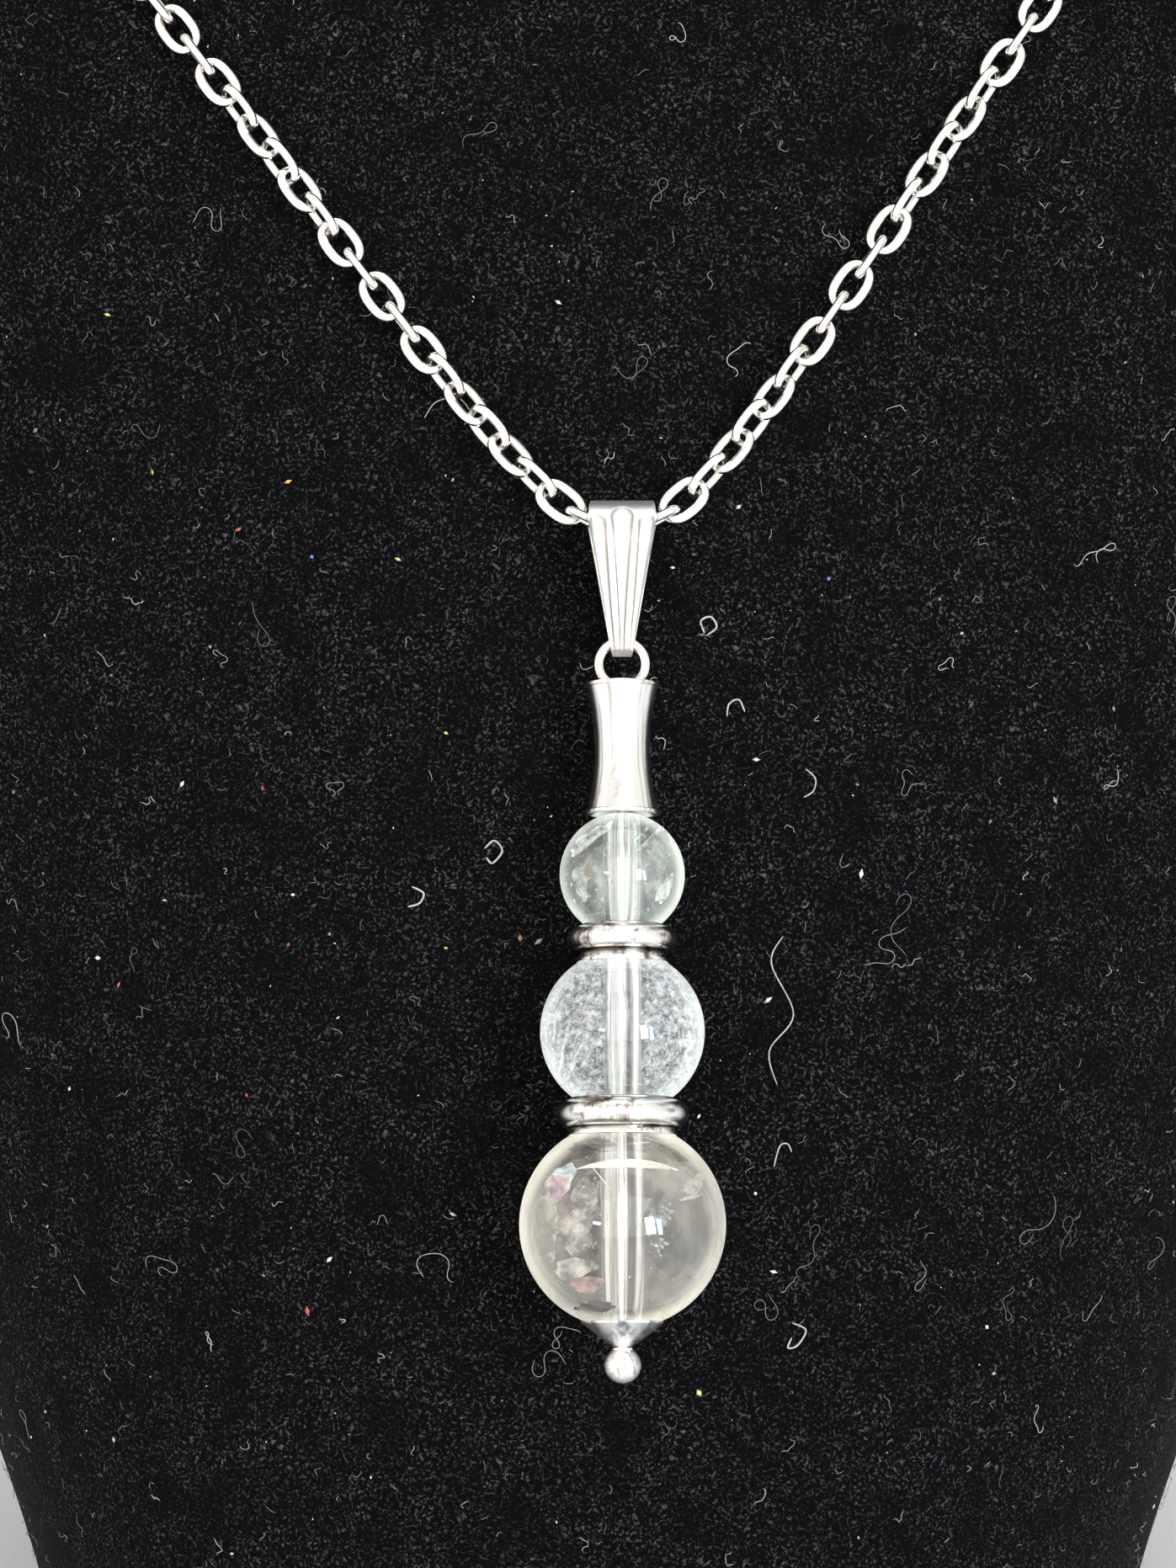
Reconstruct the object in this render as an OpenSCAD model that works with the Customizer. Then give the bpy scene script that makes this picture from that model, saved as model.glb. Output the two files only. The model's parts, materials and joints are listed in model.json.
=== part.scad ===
// A rock crystal pendant on a cable chain, laid on a black velvet neck bust.
// Three crystal beads, two spacers, a flared tube and a cap are strung on one headpin, whose
// turned loop hangs from the eye of a folded bail that the chain runs through.
// Millimetres. +Z is up and the front faces -Y. The origin lies under the middle of the whole
// object, on the surface that the bust stands on.

/* [Beads] */
// Diameter of the large crystal bead, at the bottom
large_bead_d = 10; // [9.6:0.1:10.4]
// Diameter of the middle crystal bead
middle_bead_d = 8; // [7.6:0.1:8.4]
// Diameter of the small crystal bead
small_bead_d = 6.1; // [5.8:0.1:6.4]
// Hole drilled through the large bead
large_hole_d = 1.4; // [1.2:0.1:1.6]
// Hole drilled through the middle and the small bead
small_hole_d = 1.2; // [1:0.1:1.4]

/* [Metal on the pin] */
// Wire of the headpin
pin_d = 0.56; // [0.5:0.02:0.6]
// Outer diameter of the headpin's turned loop
loop_d = 2.8; // [2.7:0.05:2.9]
// Diameter of the ball at the headpin's lower end
ball_d = 1.78; // [1.7:0.02:1.86]
// Diameter of the lower spacer's lip, on the large bead
lower_lip_d = 5.3; // [5.2:0.02:5.4]
// Diameter of the lower spacer's cup, under the middle bead
lower_cup_d = 5; // [4.9:0.02:5.1]
// Outer diameter of the ring round the lower spacer
lower_ring_d = 6.5; // [6.3:0.1:6.7]
// Metal between the two beads inside the lower spacer
lower_web = 0.34; // [0.3:0.02:0.4]
// Diameter of the upper spacer's lip, on the middle bead
upper_lip_d = 4.5; // [4.4:0.02:4.6]
// Diameter of the upper spacer's cup, under the small bead
upper_cup_d = 3.9; // [3.8:0.02:4]
// Outer diameter of the ring round the upper spacer
upper_ring_d = 5.4; // [5.2:0.1:5.6]
// Metal between the two beads inside the upper spacer
upper_web = 0.62; // [0.58:0.02:0.68]
// Length of the flared tube bead
tube_len = 6.5; // [6.2:0.1:6.8]
// Diameter of the tube bead's end lips
tube_lip_d = 3.7; // [3.6:0.05:3.8]
// Diameter of the tube bead's waist
tube_waist_d = 2.7; // [2.6:0.05:2.8]
// Diameter of the rim of the cap under the large bead
cap_rim_d = 3.96; // [3.8:0.02:4]

/* [Bail] */
// Height of the bail from its top to its tip
bail_h = 7.7; // [7.5:0.1:7.9]
// Width of the bail's top edge
bail_top_w = 3.12; // [3:0.02:3.2]
// Width of the bail at its shoulders, where it is widest
bail_wide_w = 3.4; // [3.3:0.02:3.42]
// Width of the bail at its tip
bail_tip_w = 1; // [0.9:0.02:1.04]
// Thickness of the bail's sheet
bail_sheet = 0.25; // [0.2:0.01:0.28]
// Inner radius of the tunnel that the chain runs through
tunnel_r = 1.75; // [1.72:0.01:1.78]
// Inner radius of the eye that holds the headpin's loop
eye_r = 0.46; // [0.45:0.01:0.48]

/* [Chain] */
// Wire of a link
wire = 0.44; // [0.43:0.01:0.45]
// Outer length of a link
link_len = 2.78; // [2.77:0.01:2.79]
// Outer width of a link
link_w = 1.85; // [1.83:0.01:1.87]
// Links on each side of the one inside the bail
links_a_side = 117; // [117:2:119]
// Outer diameter of the spring ring clasp
clasp_d = 5.1; // [5:0.1:5.2]

/* [Bust] */
// Height of the bust without its domed top
bust_h = 180; // [176:1:184]
// Angle at which the front of the bust leans back
lean = 15; // [14:0.5:16]
// Height of the domed top of the neck
dome_h = 7; // [5:1:9]
// Height of the middle of the bail's tunnel above the surface
tunnel_level = 63; // [61:1:65]
// How far the front of the foot lies from the origin
front_reach = 43.59; // [42:0.01:46]
// How far the pendant hangs to the right of the bust's middle
pendant_x = 1.6; // [0:0.1:2]

/* [Hidden] */
$fn = 72;

// Running gap between pieces on the pin, and between the metal or beads and the velvet
gap = 0.04;
nap_gap = 0.25;

// Heights along the pin, from the centre of the large bead
large_r = large_bead_d / 2;
middle_r = middle_bead_d / 2;
small_r = small_bead_d / 2;
middle_z = large_r + lower_web + middle_r;
small_z = middle_z + middle_r + upper_web + small_r;
bead_in_tube = 0.1;
tube_z = small_z + small_r - bead_in_tube;
tube_top = tube_z + tube_len;
loop_wire = 0.52;
loop_r = (loop_d - loop_wire) / 2;
loop_in_tube = 0.45;
loop_z = tube_top - loop_in_tube + loop_d / 2;
cap_h = 0.88;
cap_bottom = -large_r - cap_h;
collar_h = 0.17;
ball_sink = 0.18;
ball_z = cap_bottom - collar_h - ball_d / 2 + ball_sink;

// The headpin's loop turns in the eye about a point close to the middle of its wire there
eye_slack = 0.07;
hinge_z = loop_z + loop_r - eye_slack;

// Bail, from the middle of its tunnel
tunnel_out = tunnel_r + bail_sheet;
eye_out = eye_r + bail_sheet;
eye_drop = bail_h - tunnel_out - eye_out;
shoulder_drop = 0.9;

// How the bail and the drop lie on the leaning velvet: the large bead rests on it
bail_tilt = 2;
tunnel_lift = tunnel_out + nap_gap;
eye_lift = tunnel_lift + eye_drop * sin(bail_tilt);
drop_tilt = asin((large_r + nap_gap - eye_lift) / hinge_z);
tunnel_s = tunnel_level / cos(lean);
eye_s = tunnel_s - eye_drop * cos(bail_tilt);

// Sections of the bust, one row for every 20 mm of height, from the foot up
// Columns: half width, depth of the front half, depth from front to back
section_step = 20;
sections = [
    [29, 30, 76],
    [35.5, 30, 72],
    [42, 30, 67.5],
    [48, 29, 63.5],
    [54, 28, 59],
    [62, 27, 55],
    [71, 26, 51],
    [68, 25, 47],
    [61, 24, 43],
    [59, 24, 40],
];
around = 56;
rings = 37;
dome_rings = 5;
dome_turn = 84;

// Route of the chain on the bust. Columns: rise of an arm for each mm outwards, the radius that
// rounds the bottom of the V, and how far outwards that bottom lies from the bust's middle.
// Near the bail the chain is held off the velvet, and it settles over the angle given here
left_arm = [1.32, 4, -pendant_x];
right_arm = [1.5, 4.3, pendant_x];
v_half_w = 49;
v_widening = 0.3;
link0_lift = 0.6;
rest_lift = link_w / 2 + 0.15;
settle_angle = 11;
neck_level = 150;
nape_rise = 22;

// Angles round the bust at which the chain starts to leave the arm's line and to rise to the
// nape, and the angles that each takes
turn_from = 26;
turn_span = 70;
rise_from = 40;
rise_span = 140;

// A smooth curve through one column of the table of sections
function row(i) = sections[min(max(i, 0), len(sections) - 1)];
function spline(a, b, c, d, t) =
    0.5 * (2 * b + (c - a) * t + (2 * a - 5 * b + 4 * c - d) * t * t
        + (3 * b - a - 3 * c + d) * t * t * t);
function measure(level, column) =
    let (i = floor(level / section_step), t = level / section_step - i)
    spline(row(i - 1)[column], row(i)[column], row(i + 1)[column], row(i + 2)[column], t);

// The velvet at an angle round the bust, 0 in front and 180 behind, and at a height
function skin(angle, level) =
    let (
        half_w = measure(level, 0),
        front = measure(level, 1),
        depth = cos(angle) > 0 ? front : measure(level, 2) - front,
        widest_y = level * tan(lean) - front_reach + front
    )
    [half_w * sin(angle), widest_y - depth * cos(angle), level];
function unit(v) = v / norm(v);
function skin_normal(angle, level) =
    unit(cross(skin(angle + 0.5, level) - skin(angle - 0.5, level),
        skin(angle, level + 0.5) - skin(angle, level - 0.5)));

// Height of the chain at an angle: a straight arm of the V in front, then up over the shoulder
// and round the nape
function ease(t) = let (c = min(max(t, 0), 1)) c * c * (3 - 2 * c);
function arm_level(angle, arm) =
    let (
        out = v_half_w * sin(angle) - arm[2],
        reach = sqrt(out * out + arm[1] * arm[1]) - arm[1]
    )
    tunnel_level + link0_lift * cos(lean)
        + arm[0] * reach / (1 - arm[0] * v_widening * sin(angle));
function arm_start(arm) = asin(arm[2] / v_half_w);
function chain_level(angle, arm) =
    let (
        share = ease((angle - turn_from) / turn_span),
        nape = neck_level + nape_rise * ease((angle - rise_from) / rise_span)
    )
    arm_level(min(angle, 90), arm) * (1 - share) + nape * share;
function route(angle, arm) =
    let (
        level = chain_level(angle, arm),
        held = exp(-pow((angle - arm_start(arm)) / settle_angle, 2)),
        lift = rest_lift + (tunnel_lift - rest_lift) * held
    )
    skin(angle, level) + lift * skin_normal(angle, level);

// Distance walked along an arm, against the angle
walk_steps = 720;
function walk_angle(i, arm) = arm_start(arm) + (180 - arm_start(arm)) * i / walk_steps;
function walk(arm) = [
    for (
        i = 0, s = 0, p = route(arm_start(arm), arm), q = p;
        i <= walk_steps;
        i = i + 1, q = route(walk_angle(i, arm), arm), s = s + norm(q - p), p = q
    )
    [s, walk_angle(i, arm)]
];
function walk_length(table) = table[len(table) - 1][0];

// Link and clasp: bend radius, straight sides, and how far the last link lies from the clasp
bend_r = (link_w - wire) / 2;
straight = link_len - link_w;
clasp_wire = 0.7;
clasp_sleeve = 1.1;
clasp_r = (clasp_d - clasp_wire) / 2;
clasp_gap = 0.1;
clasp_hold = clasp_r + (link_len - wire) / 2 - (wire + clasp_wire) / 2 - clasp_gap;

// How far the links are turned from lying flat, at a distance from the bail: the front of the
// chain twists to and fro in waves
twist_wave = 17.5;
twist_waves = 3;
twist_turn = 45;
function twist(s) =
    s < twist_waves * twist_wave ? twist_turn / 2 * (1 - cos(360 * s / twist_wave)) : 0;

module link() {
    for (side = [-1, 1]) {
        translate([0, side * bend_r, -straight / 2])
            cylinder(d = wire, h = straight);
        translate([0, 0, side * straight / 2])
            rotate([0, 90, 0])
                rotate([0, 0, side * 90])
                    rotate_extrude(angle = 180)
                        translate([bend_r, 0])
                            circle(d = wire);
    }
}

module links(arm, side, first) {
    table = walk(arm);
    pitch = (walk_length(table) - clasp_hold) / links_a_side;
    for (k = [first:links_a_side]) {
        s = k * pitch;
        angle = lookup(s, table);
        here = route(angle, arm);
        ahead = route(lookup(s + pitch / 2, table), arm);
        behind = k == 0
            ? [2 * here[0] - ahead[0], ahead[1], ahead[2]]
            : route(lookup(s - pitch / 2, table), arm);
        along = unit(ahead - behind);
        across = unit(cross(along, skin_normal(angle, chain_level(angle, arm))));
        outward = cross(across, along);
        turn = 90 * (k % 2) + twist(s);
        wide = across * cos(turn) + outward * sin(turn);
        thin = cross(wide, along);
        mirror([side < 0 ? 1 : 0, 0, 0])
            multmatrix([
                [thin[0], wide[0], along[0], here[0]],
                [thin[1], wide[1], along[1], here[1]],
                [thin[2], wide[2], along[2], here[2]],
                [0, 0, 0, 1]
            ])
                link();
    }
}

module on_velvet(s, lift, tilt) {
    translate([pendant_x, -front_reach, 0])
        rotate([-lean, 0, 0])
            translate([0, -lift, s])
                rotate([-tilt, 0, 0])
                    children();
}

module on_pin() {
    on_velvet(eye_s, eye_lift, drop_tilt)
        translate([0, 0, -hinge_z])
            children();
}

module bust() {
    levels = [for (i = [0:rings - 1]) bust_h * i / (rings - 1)];
    middle = (skin(0, bust_h) + skin(180, bust_h)) / 2;
    points = [
        for (level = levels)
            for (i = [0:around - 1])
                skin(360 * i / around, level),
        for (j = [1:dome_rings])
            for (i = [0:around - 1])
                let (rise = dome_turn * j / dome_rings, edge = skin(360 * i / around, bust_h))
                middle + (edge - middle) * cos(rise) + [0, 0, dome_h * sin(rise)],
    ];
    ring_count = rings + dome_rings;
    faces = [
        for (j = [0:ring_count - 2])
            for (i = [0:around - 1])
                let (a = j * around + i, b = j * around + (i + 1) % around)
                [a, a + around, b + around, b],
        [for (i = [0:around - 1]) i],
        [for (i = [around - 1:-1:0]) (ring_count - 1) * around + i],
    ];
    color("#121214")
        polyhedron(points, faces, convexity = 4);
}

module chain_left() {
    color("silver")
        links(left_arm, -1, 1);
}

module chain_right() {
    color("silver")
        links(right_arm, 1, 0);
}

module clasp() {
    angle = 180;
    level = chain_level(angle, right_arm);
    out = skin_normal(angle, level);
    color("silver")
        translate(skin(angle, level) + rest_lift * out)
            rotate([-90 + asin(out[2]), 0, 0]) {
                rotate_extrude()
                    translate([clasp_r, 0])
                        circle(d = clasp_wire);
                rotate([0, 0, 30])
                    rotate_extrude(angle = 120)
                        translate([clasp_r, 0])
                            circle(d = clasp_sleeve);
            }
}

module bail_side(ring_out, tip_out) {
    // The sides meet the round ends just inside their outline
    slope = asin((ring_out - tip_out) / eye_drop);
    seat = 0.01;
    circle(ring_out);
    translate([0, -eye_drop])
        circle(tip_out);
    polygon([
        for (end = [[0, ring_out, -1], [-eye_drop, tip_out, -1],
                [-eye_drop, tip_out, 1], [0, ring_out, 1]])
            [end[2] * (end[1] - seat) * cos(slope), end[0] - (end[1] - seat) * sin(slope)]
    ]);
}

module bail() {
    // Width and height of the front's corners, from the tip up
    edge = [
        [bail_tip_w, tunnel_out - bail_h - 0.1],
        [bail_wide_w, tunnel_out - shoulder_drop],
        [bail_top_w, tunnel_out + 0.1]
    ];
    color("silver")
        on_velvet(tunnel_s, tunnel_lift, bail_tilt)
            intersection() {
                rotate([90, 0, 90])
                    linear_extrude(height = 2 * bail_wide_w, center = true)
                        difference() {
                            bail_side(tunnel_out, eye_out);
                            bail_side(tunnel_r, eye_r);
                        }
                rotate([90, 0, 0])
                    linear_extrude(height = 4 * tunnel_out, center = true)
                        polygon([
                            for (corner = edge) [-corner[0] / 2, corner[1]],
                            for (i = [2:-1:0]) [edge[i][0] / 2, edge[i][1]]
                        ]);
            }
}

module headpin() {
    collar_d = 1.06;
    color("silver")
        on_pin() {
            translate([0, 0, loop_z])
                rotate([90, 0, 0])
                    rotate_extrude()
                        translate([loop_r, 0])
                            circle(d = loop_wire);
            translate([0, 0, ball_z])
                cylinder(d = pin_d, h = loop_z - loop_r - ball_z);
            translate([0, 0, cap_bottom - collar_h])
                cylinder(d = collar_d, h = collar_h - gap);
            translate([0, 0, ball_z])
                sphere(d = ball_d);
        }
}

module tube_bead() {
    lip = 0.22;
    flare = 1.5;
    throat = 0.3;
    half = tube_len / 2;
    // Radius of the long hollow curve from lip to lip
    dip = (tube_lip_d - tube_waist_d) / 2 - 0.1;
    sweep_r = (pow(half - lip, 2) + dip * dip) / (2 * dip);
    color("silver")
        on_pin()
            translate([0, 0, tube_z + half])
                rotate_extrude()
                    difference() {
                        translate([pin_d / 2 + gap, -half])
                            square([(tube_lip_d - pin_d) / 2 - gap, tube_len]);
                        intersection() {
                            translate([tube_waist_d / 2 + sweep_r, 0])
                                circle(sweep_r, $fn = 360);
                            translate([0, lip - half])
                                square([tube_lip_d, tube_len - 2 * lip]);
                        }
                        for (end = [-1, 1])
                            scale([1, end])
                                polygon([
                                    [0, half + 1], [tube_lip_d / 2 - lip, half + 1],
                                    [tube_lip_d / 2 - lip, half - 0.1],
                                    [pin_d / 2 + throat, half - flare], [0, half - flare]
                                ]);
                    }
}

module crystal(bead_d, hole_d, z) {
    color("#dfe6e2")
        on_pin()
            translate([0, 0, z])
                difference() {
                    sphere(d = bead_d, $fn = 96);
                    cylinder(d = hole_d, h = bead_d + 1, center = true);
                }
}

module bead_small() {
    crystal(small_bead_d, small_hole_d, small_z);
}

module bead_middle() {
    crystal(middle_bead_d, small_hole_d, middle_z);
}

module bead_large() {
    crystal(large_bead_d, large_hole_d, 0);
}

// A lip on the bead below, a cup for the bead above, and a plump ring close under the cup
module spacer(below_z, below_r, above_z, above_r, lip_d, cup_d, ring_d, ring_wire) {
    low = below_z + sqrt(pow(below_r, 2) - pow(lip_d / 2, 2));
    high = above_z - sqrt(pow(above_r, 2) - pow(cup_d / 2, 2));
    lip_h = 0.36;
    cup_rim_h = 0.15;
    step = 0.1;
    color("silver")
        on_pin()
            difference() {
                union() {
                    translate([0, 0, low])
                        cylinder(d = cup_d - step, h = high - low);
                    translate([0, 0, low])
                        cylinder(d = lip_d, h = lip_h);
                    translate([0, 0, high - cup_rim_h])
                        cylinder(d = cup_d, h = cup_rim_h);
                    translate([0, 0, high - cup_rim_h - ring_wire / 2])
                        rotate_extrude()
                            translate([(ring_d - ring_wire) / 2, 0])
                                circle(d = ring_wire);
                }
                translate([0, 0, below_z])
                    sphere(r = below_r + gap, $fn = 96);
                translate([0, 0, above_z])
                    sphere(r = above_r + gap, $fn = 96);
                translate([0, 0, low - 1])
                    cylinder(d = pin_d + 2 * gap, h = high - low + 2);
            }
}

module spacer_lower() {
    spacer(0, large_r, middle_z, middle_r, lower_lip_d, lower_cup_d, lower_ring_d, 1.3);
}

module spacer_upper() {
    spacer(middle_z, middle_r, small_z, small_r, upper_lip_d, upper_cup_d, upper_ring_d, 1.15);
}

module bead_cap() {
    foot_d = 1.1;
    rim_z = -sqrt(pow(large_r, 2) - pow(cap_rim_d / 2, 2));
    color("silver")
        on_pin()
            difference() {
                translate([0, 0, cap_bottom])
                    cylinder(d1 = foot_d, d2 = cap_rim_d, h = rim_z - cap_bottom);
                sphere(r = large_r + gap, $fn = 96);
                translate([0, 0, cap_bottom - 1])
                    cylinder(d = pin_d + 2 * gap, h = large_r);
            }
}

bust();
chain_left();
chain_right();
clasp();
bail();
headpin();
tube_bead();
bead_small();
spacer_upper();
bead_middle();
spacer_lower();
bead_large();
bead_cap();
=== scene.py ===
import json
import bmesh
import bpy
import numpy as np
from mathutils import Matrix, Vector


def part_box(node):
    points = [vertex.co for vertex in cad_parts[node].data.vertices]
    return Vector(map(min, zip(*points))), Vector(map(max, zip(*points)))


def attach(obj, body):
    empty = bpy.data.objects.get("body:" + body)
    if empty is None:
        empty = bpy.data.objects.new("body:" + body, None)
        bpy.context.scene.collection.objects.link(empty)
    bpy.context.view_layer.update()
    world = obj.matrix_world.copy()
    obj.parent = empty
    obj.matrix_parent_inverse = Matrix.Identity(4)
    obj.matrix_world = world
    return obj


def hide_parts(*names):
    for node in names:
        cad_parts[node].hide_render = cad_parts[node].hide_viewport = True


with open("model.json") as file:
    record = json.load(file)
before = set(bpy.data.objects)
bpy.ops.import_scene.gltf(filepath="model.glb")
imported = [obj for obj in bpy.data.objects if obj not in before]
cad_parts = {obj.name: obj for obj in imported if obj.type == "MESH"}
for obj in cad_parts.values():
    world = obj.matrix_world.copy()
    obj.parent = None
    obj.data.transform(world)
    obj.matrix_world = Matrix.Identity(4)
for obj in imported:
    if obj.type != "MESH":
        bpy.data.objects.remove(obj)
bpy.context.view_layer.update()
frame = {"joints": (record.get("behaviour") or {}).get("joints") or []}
scene = bpy.context.scene

# Camera
# It stands 27 cm in front of the bust, a little above the pendant, and looks down at it through
# a long lens, as the photograph does.
photo_w = 1397
focal_px = 6000
sensor_w = 36
camera_at = (-0.00007, -0.27302, 0.10949)
camera_down = 13.4
camera_data = bpy.data.cameras.new("Camera")
camera_data.sensor_fit = "HORIZONTAL"
camera_data.sensor_width = sensor_w
camera_data.lens = sensor_w * focal_px / photo_w
camera_data.clip_start = 0.01
camera = bpy.data.objects.new("Camera", camera_data)
camera.location = camera_at
camera.rotation_euler = (np.radians(90 - camera_down), 0, 0)
scene.collection.objects.link(camera)
scene.camera = camera

# Room
# A pale floor and soft boxes: a wide one in front, whose light the metal throws back, a bright
# pair at the right like a window's panes, two weak ones at the left, and one overhead.
floor_half = 1.2
room_light = (1, 0.99, 0.97)
room_strength = 1.0
# Columns: name, place, place it is aimed at, width, height, watts, colour
soft_boxes = [
    ("front", (0.10, -0.80, 0.42), (0, -0.03, 0.05), 1.00, 0.70, 3.6, (1, 0.99, 0.97)),
    ("wide pane", (0.30, -0.53, 0.185), (0, -0.03, 0.05), 0.11, 0.19, 1.7, (1, 0.99, 0.97)),
    ("narrow pane", (0.385, -0.465, 0.15), (0, -0.03, 0.05), 0.055, 0.17, 0.75, (0.62, 0.8, 1)),
    ("chink", (-0.30, -0.55, 0.22), (0, -0.03, 0.05), 0.10, 0.04, 0.25, (0.93, 0.97, 1)),
    ("fill", (-0.55, -0.25, 0.20), (0, -0.03, 0.05), 0.30, 0.40, 0.6, (1, 0.72, 0.55)),
    ("overhead", (0, 0.05, 0.85), (0, 0, 0.05), 0.60, 0.60, 1.6, (0.92, 0.96, 1)),
]


def feed(tree, node, **inputs):
    """Gives a node's inputs, by their sockets' names, a value or another node's output."""
    for key, value in inputs.items():
        socket = node.inputs[int(key[2:]) if key[:2] == "in" else key.replace("_", " ")]
        if isinstance(value, bpy.types.NodeSocket):
            tree.links.new(value, socket)
        else:
            socket.default_value = value


def add(tree, kind, output, settings=None, **inputs):
    """An output of a new node in a tree."""
    node = tree.nodes.new("ShaderNode" + kind)
    for key, value in (settings or {}).items():
        setattr(node, key, value)
    feed(tree, node, **inputs)
    return node.outputs[output]


def own_places(tree):
    """Where each point of the surface lies in the object's own coordinates."""
    return add(tree, "TexCoord", "Object")


def noise(tree, places, scale, detail, **more):
    """Noise at those places, from 0 to 1."""
    return add(tree, "TexNoise", "Fac", Vector=places, Scale=scale, Detail=detail, **more)


def mixed(tree, share, one, two):
    """A colour that goes from one to two with the share."""
    one, two = ((*c, 1) if isinstance(c, tuple) else c for c in (one, two))
    return add(tree, "Mix", 2, {"data_type": "RGBA"}, Factor=share, in6=one, in7=two)


def new_material(name):
    """An empty material: its tree, and its Principled BSDF joined to the output."""
    material = bpy.data.materials.new(name)
    material.use_nodes = True
    tree = material.node_tree
    return material, tree, tree.nodes["Principled BSDF"]


world = bpy.data.worlds.new("room")
world.use_nodes = True
world_shader = world.node_tree.nodes["Background"]
world_shader.inputs["Color"].default_value = (*room_light, 1)
world_shader.inputs["Strength"].default_value = room_strength
scene.world = world
scene.view_settings.view_transform = "Standard"

for name, place, aim, width, height, watts, colour in soft_boxes:
    light = bpy.data.lights.new(name, "AREA")
    light.shape = "RECTANGLE"
    light.size, light.size_y = width, height
    light.energy = watts
    light.color = colour
    box = bpy.data.objects.new(name, light)
    box.location = place
    box.rotation_euler = (Vector(aim) - Vector(place)).to_track_quat("-Z", "Y").to_euler()
    scene.collection.objects.link(box)

floor_mesh = bpy.data.meshes.new("floor")
floor_mesh.from_pydata(
    [(x * floor_half, y * floor_half, 0) for x, y in ((-1, -1), (1, -1), (1, 1), (-1, 1))],
    [], [(0, 1, 2, 3)],
)
floor = bpy.data.objects.new("floor", floor_mesh)
scene.collection.objects.link(floor)
floor_paint, tree, shader = new_material("floor_paint")
mottle = noise(tree, own_places(tree), 60.0, 4.0)
feed(tree, shader, Roughness=0.7,
     Base_Color=mixed(tree, mottle, (0.66, 0.67, 0.69), (0.72, 0.73, 0.75)))
floor_mesh.materials.append(floor_paint)

# Neck bust
# A light board and resin form, covered all over in black velvet with a short pile. It leans
# back, widens from the foot to the shoulders and narrows again to the neck.
MM = 0.001
lean = 15
front_reach = 43.59
bust_h = 180
dome_h = 7
section_step = 20
# Columns: half width, depth of the front half, depth from front to back, every 20 mm up
sections = np.array([
    (29, 30, 76), (35.5, 30, 72), (42, 30, 67.5), (48, 29, 63.5), (54, 28, 59),
    (62, 27, 55), (71, 26, 51), (68, 25, 47), (61, 24, 43), (59, 24, 40),
])


def flow(a, b, c, d, t):
    """Catmull-Rom curve: the cubic from b to c whose slopes there are half of c - a and d - b."""
    return 0.5 * (
        2 * b + (c - a) * t + (2 * a - 5 * b + 4 * c - d) * t**2 + (3 * b - a - 3 * c + d) * t**3
    )


def measure(level, column):
    """One column of the sections as a smooth curve, at heights in millimetres."""
    i = np.floor(level / section_step).astype(int)
    near = (sections[np.clip(i + k, 0, len(sections) - 1), column] for k in (-1, 0, 1, 2))
    return flow(*near, level / section_step - i)


def skin(angle, level):
    """The velvet: x = half width times sin(angle), y = widest line less a half depth times
    cos(angle), z = level. Angles in degrees, 0 in front and 180 behind."""
    turn = np.radians(angle)
    front = measure(level, 1)
    depth = np.where(np.cos(turn) > 0, front, measure(level, 2) - front)
    widest = level * np.tan(np.radians(lean)) - front_reach + front
    x = measure(level, 0) * np.sin(turn)
    return np.stack([x, widest - depth * np.cos(turn), level + 0 * x], axis=-1)


def unit(v):
    """Vectors of length 1 along v."""
    return v / np.linalg.norm(v, axis=-1, keepdims=True)


def step_round(angle, level):
    """A step of one degree round the skin."""
    return skin(angle + 0.5, level) - skin(angle - 0.5, level)


def step_up(angle, level):
    """A step of one millimetre up the skin."""
    return skin(angle, level + 0.5) - skin(angle, level - 0.5)


def skin_normal(angle, level):
    """Outward direction: the slope round the bust crossed with the slope up it."""
    return unit(np.cross(step_round(angle, level), step_up(angle, level)))


def grid(rows, columns, rows_meet=False, columns_meet=True):
    """Four-sided faces between the neighbours of a grid of points, numbered row by row."""
    r = np.arange(rows if rows_meet else rows - 1)[:, None]
    c = np.arange(columns if columns_meet else columns - 1)[None, :]
    up, across = (r + 1) % rows, (c + 1) % columns
    corners = [r * columns + c, r * columns + across, up * columns + across, up * columns + c]
    return np.stack(corners, axis=-1).reshape(-1, 4)


def make_piece(name, points, faces, body, nodes, slot, materials, crease=None, tones=None):
    """A smooth piece from points in millimetres and faces. Points that meet at a pole are
    merged, a closed shape that is inside out is turned, and the piece rides on its body. Tones
    are a colour for each point, which its material reads."""
    points = np.asarray(points, float).reshape(-1, 3)
    a, b, c = (points[faces[:, k]] for k in range(3))
    d = points[faces[:, -1]]
    volume = np.sum(a * np.cross(b, c)) + np.sum(a * np.cross(c, d))
    if volume < 0:
        faces = faces[:, ::-1]
    mesh = bpy.data.meshes.new(name)
    mesh.from_pydata((points * MM).tolist(), [], faces.tolist())
    if tones is not None:
        colours = mesh.attributes.new("tone", "FLOAT_COLOR", "POINT")
        colours.data.foreach_set("color", np.asarray(tones, np.float32).ravel())
    shape = bmesh.new()
    shape.from_mesh(mesh)
    bmesh.ops.remove_doubles(shape, verts=shape.verts, dist=1e-7)
    shape.to_mesh(mesh)
    shape.free()
    mesh.shade_smooth()
    if crease:
        mesh.set_sharp_from_angle(angle=np.radians(crease))
    for material in materials:
        mesh.materials.append(material)
    piece = bpy.data.objects.new(name, mesh)
    scene.collection.objects.link(piece)
    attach(piece, body)
    if nodes:
        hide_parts(*nodes)
    return piece


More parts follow.
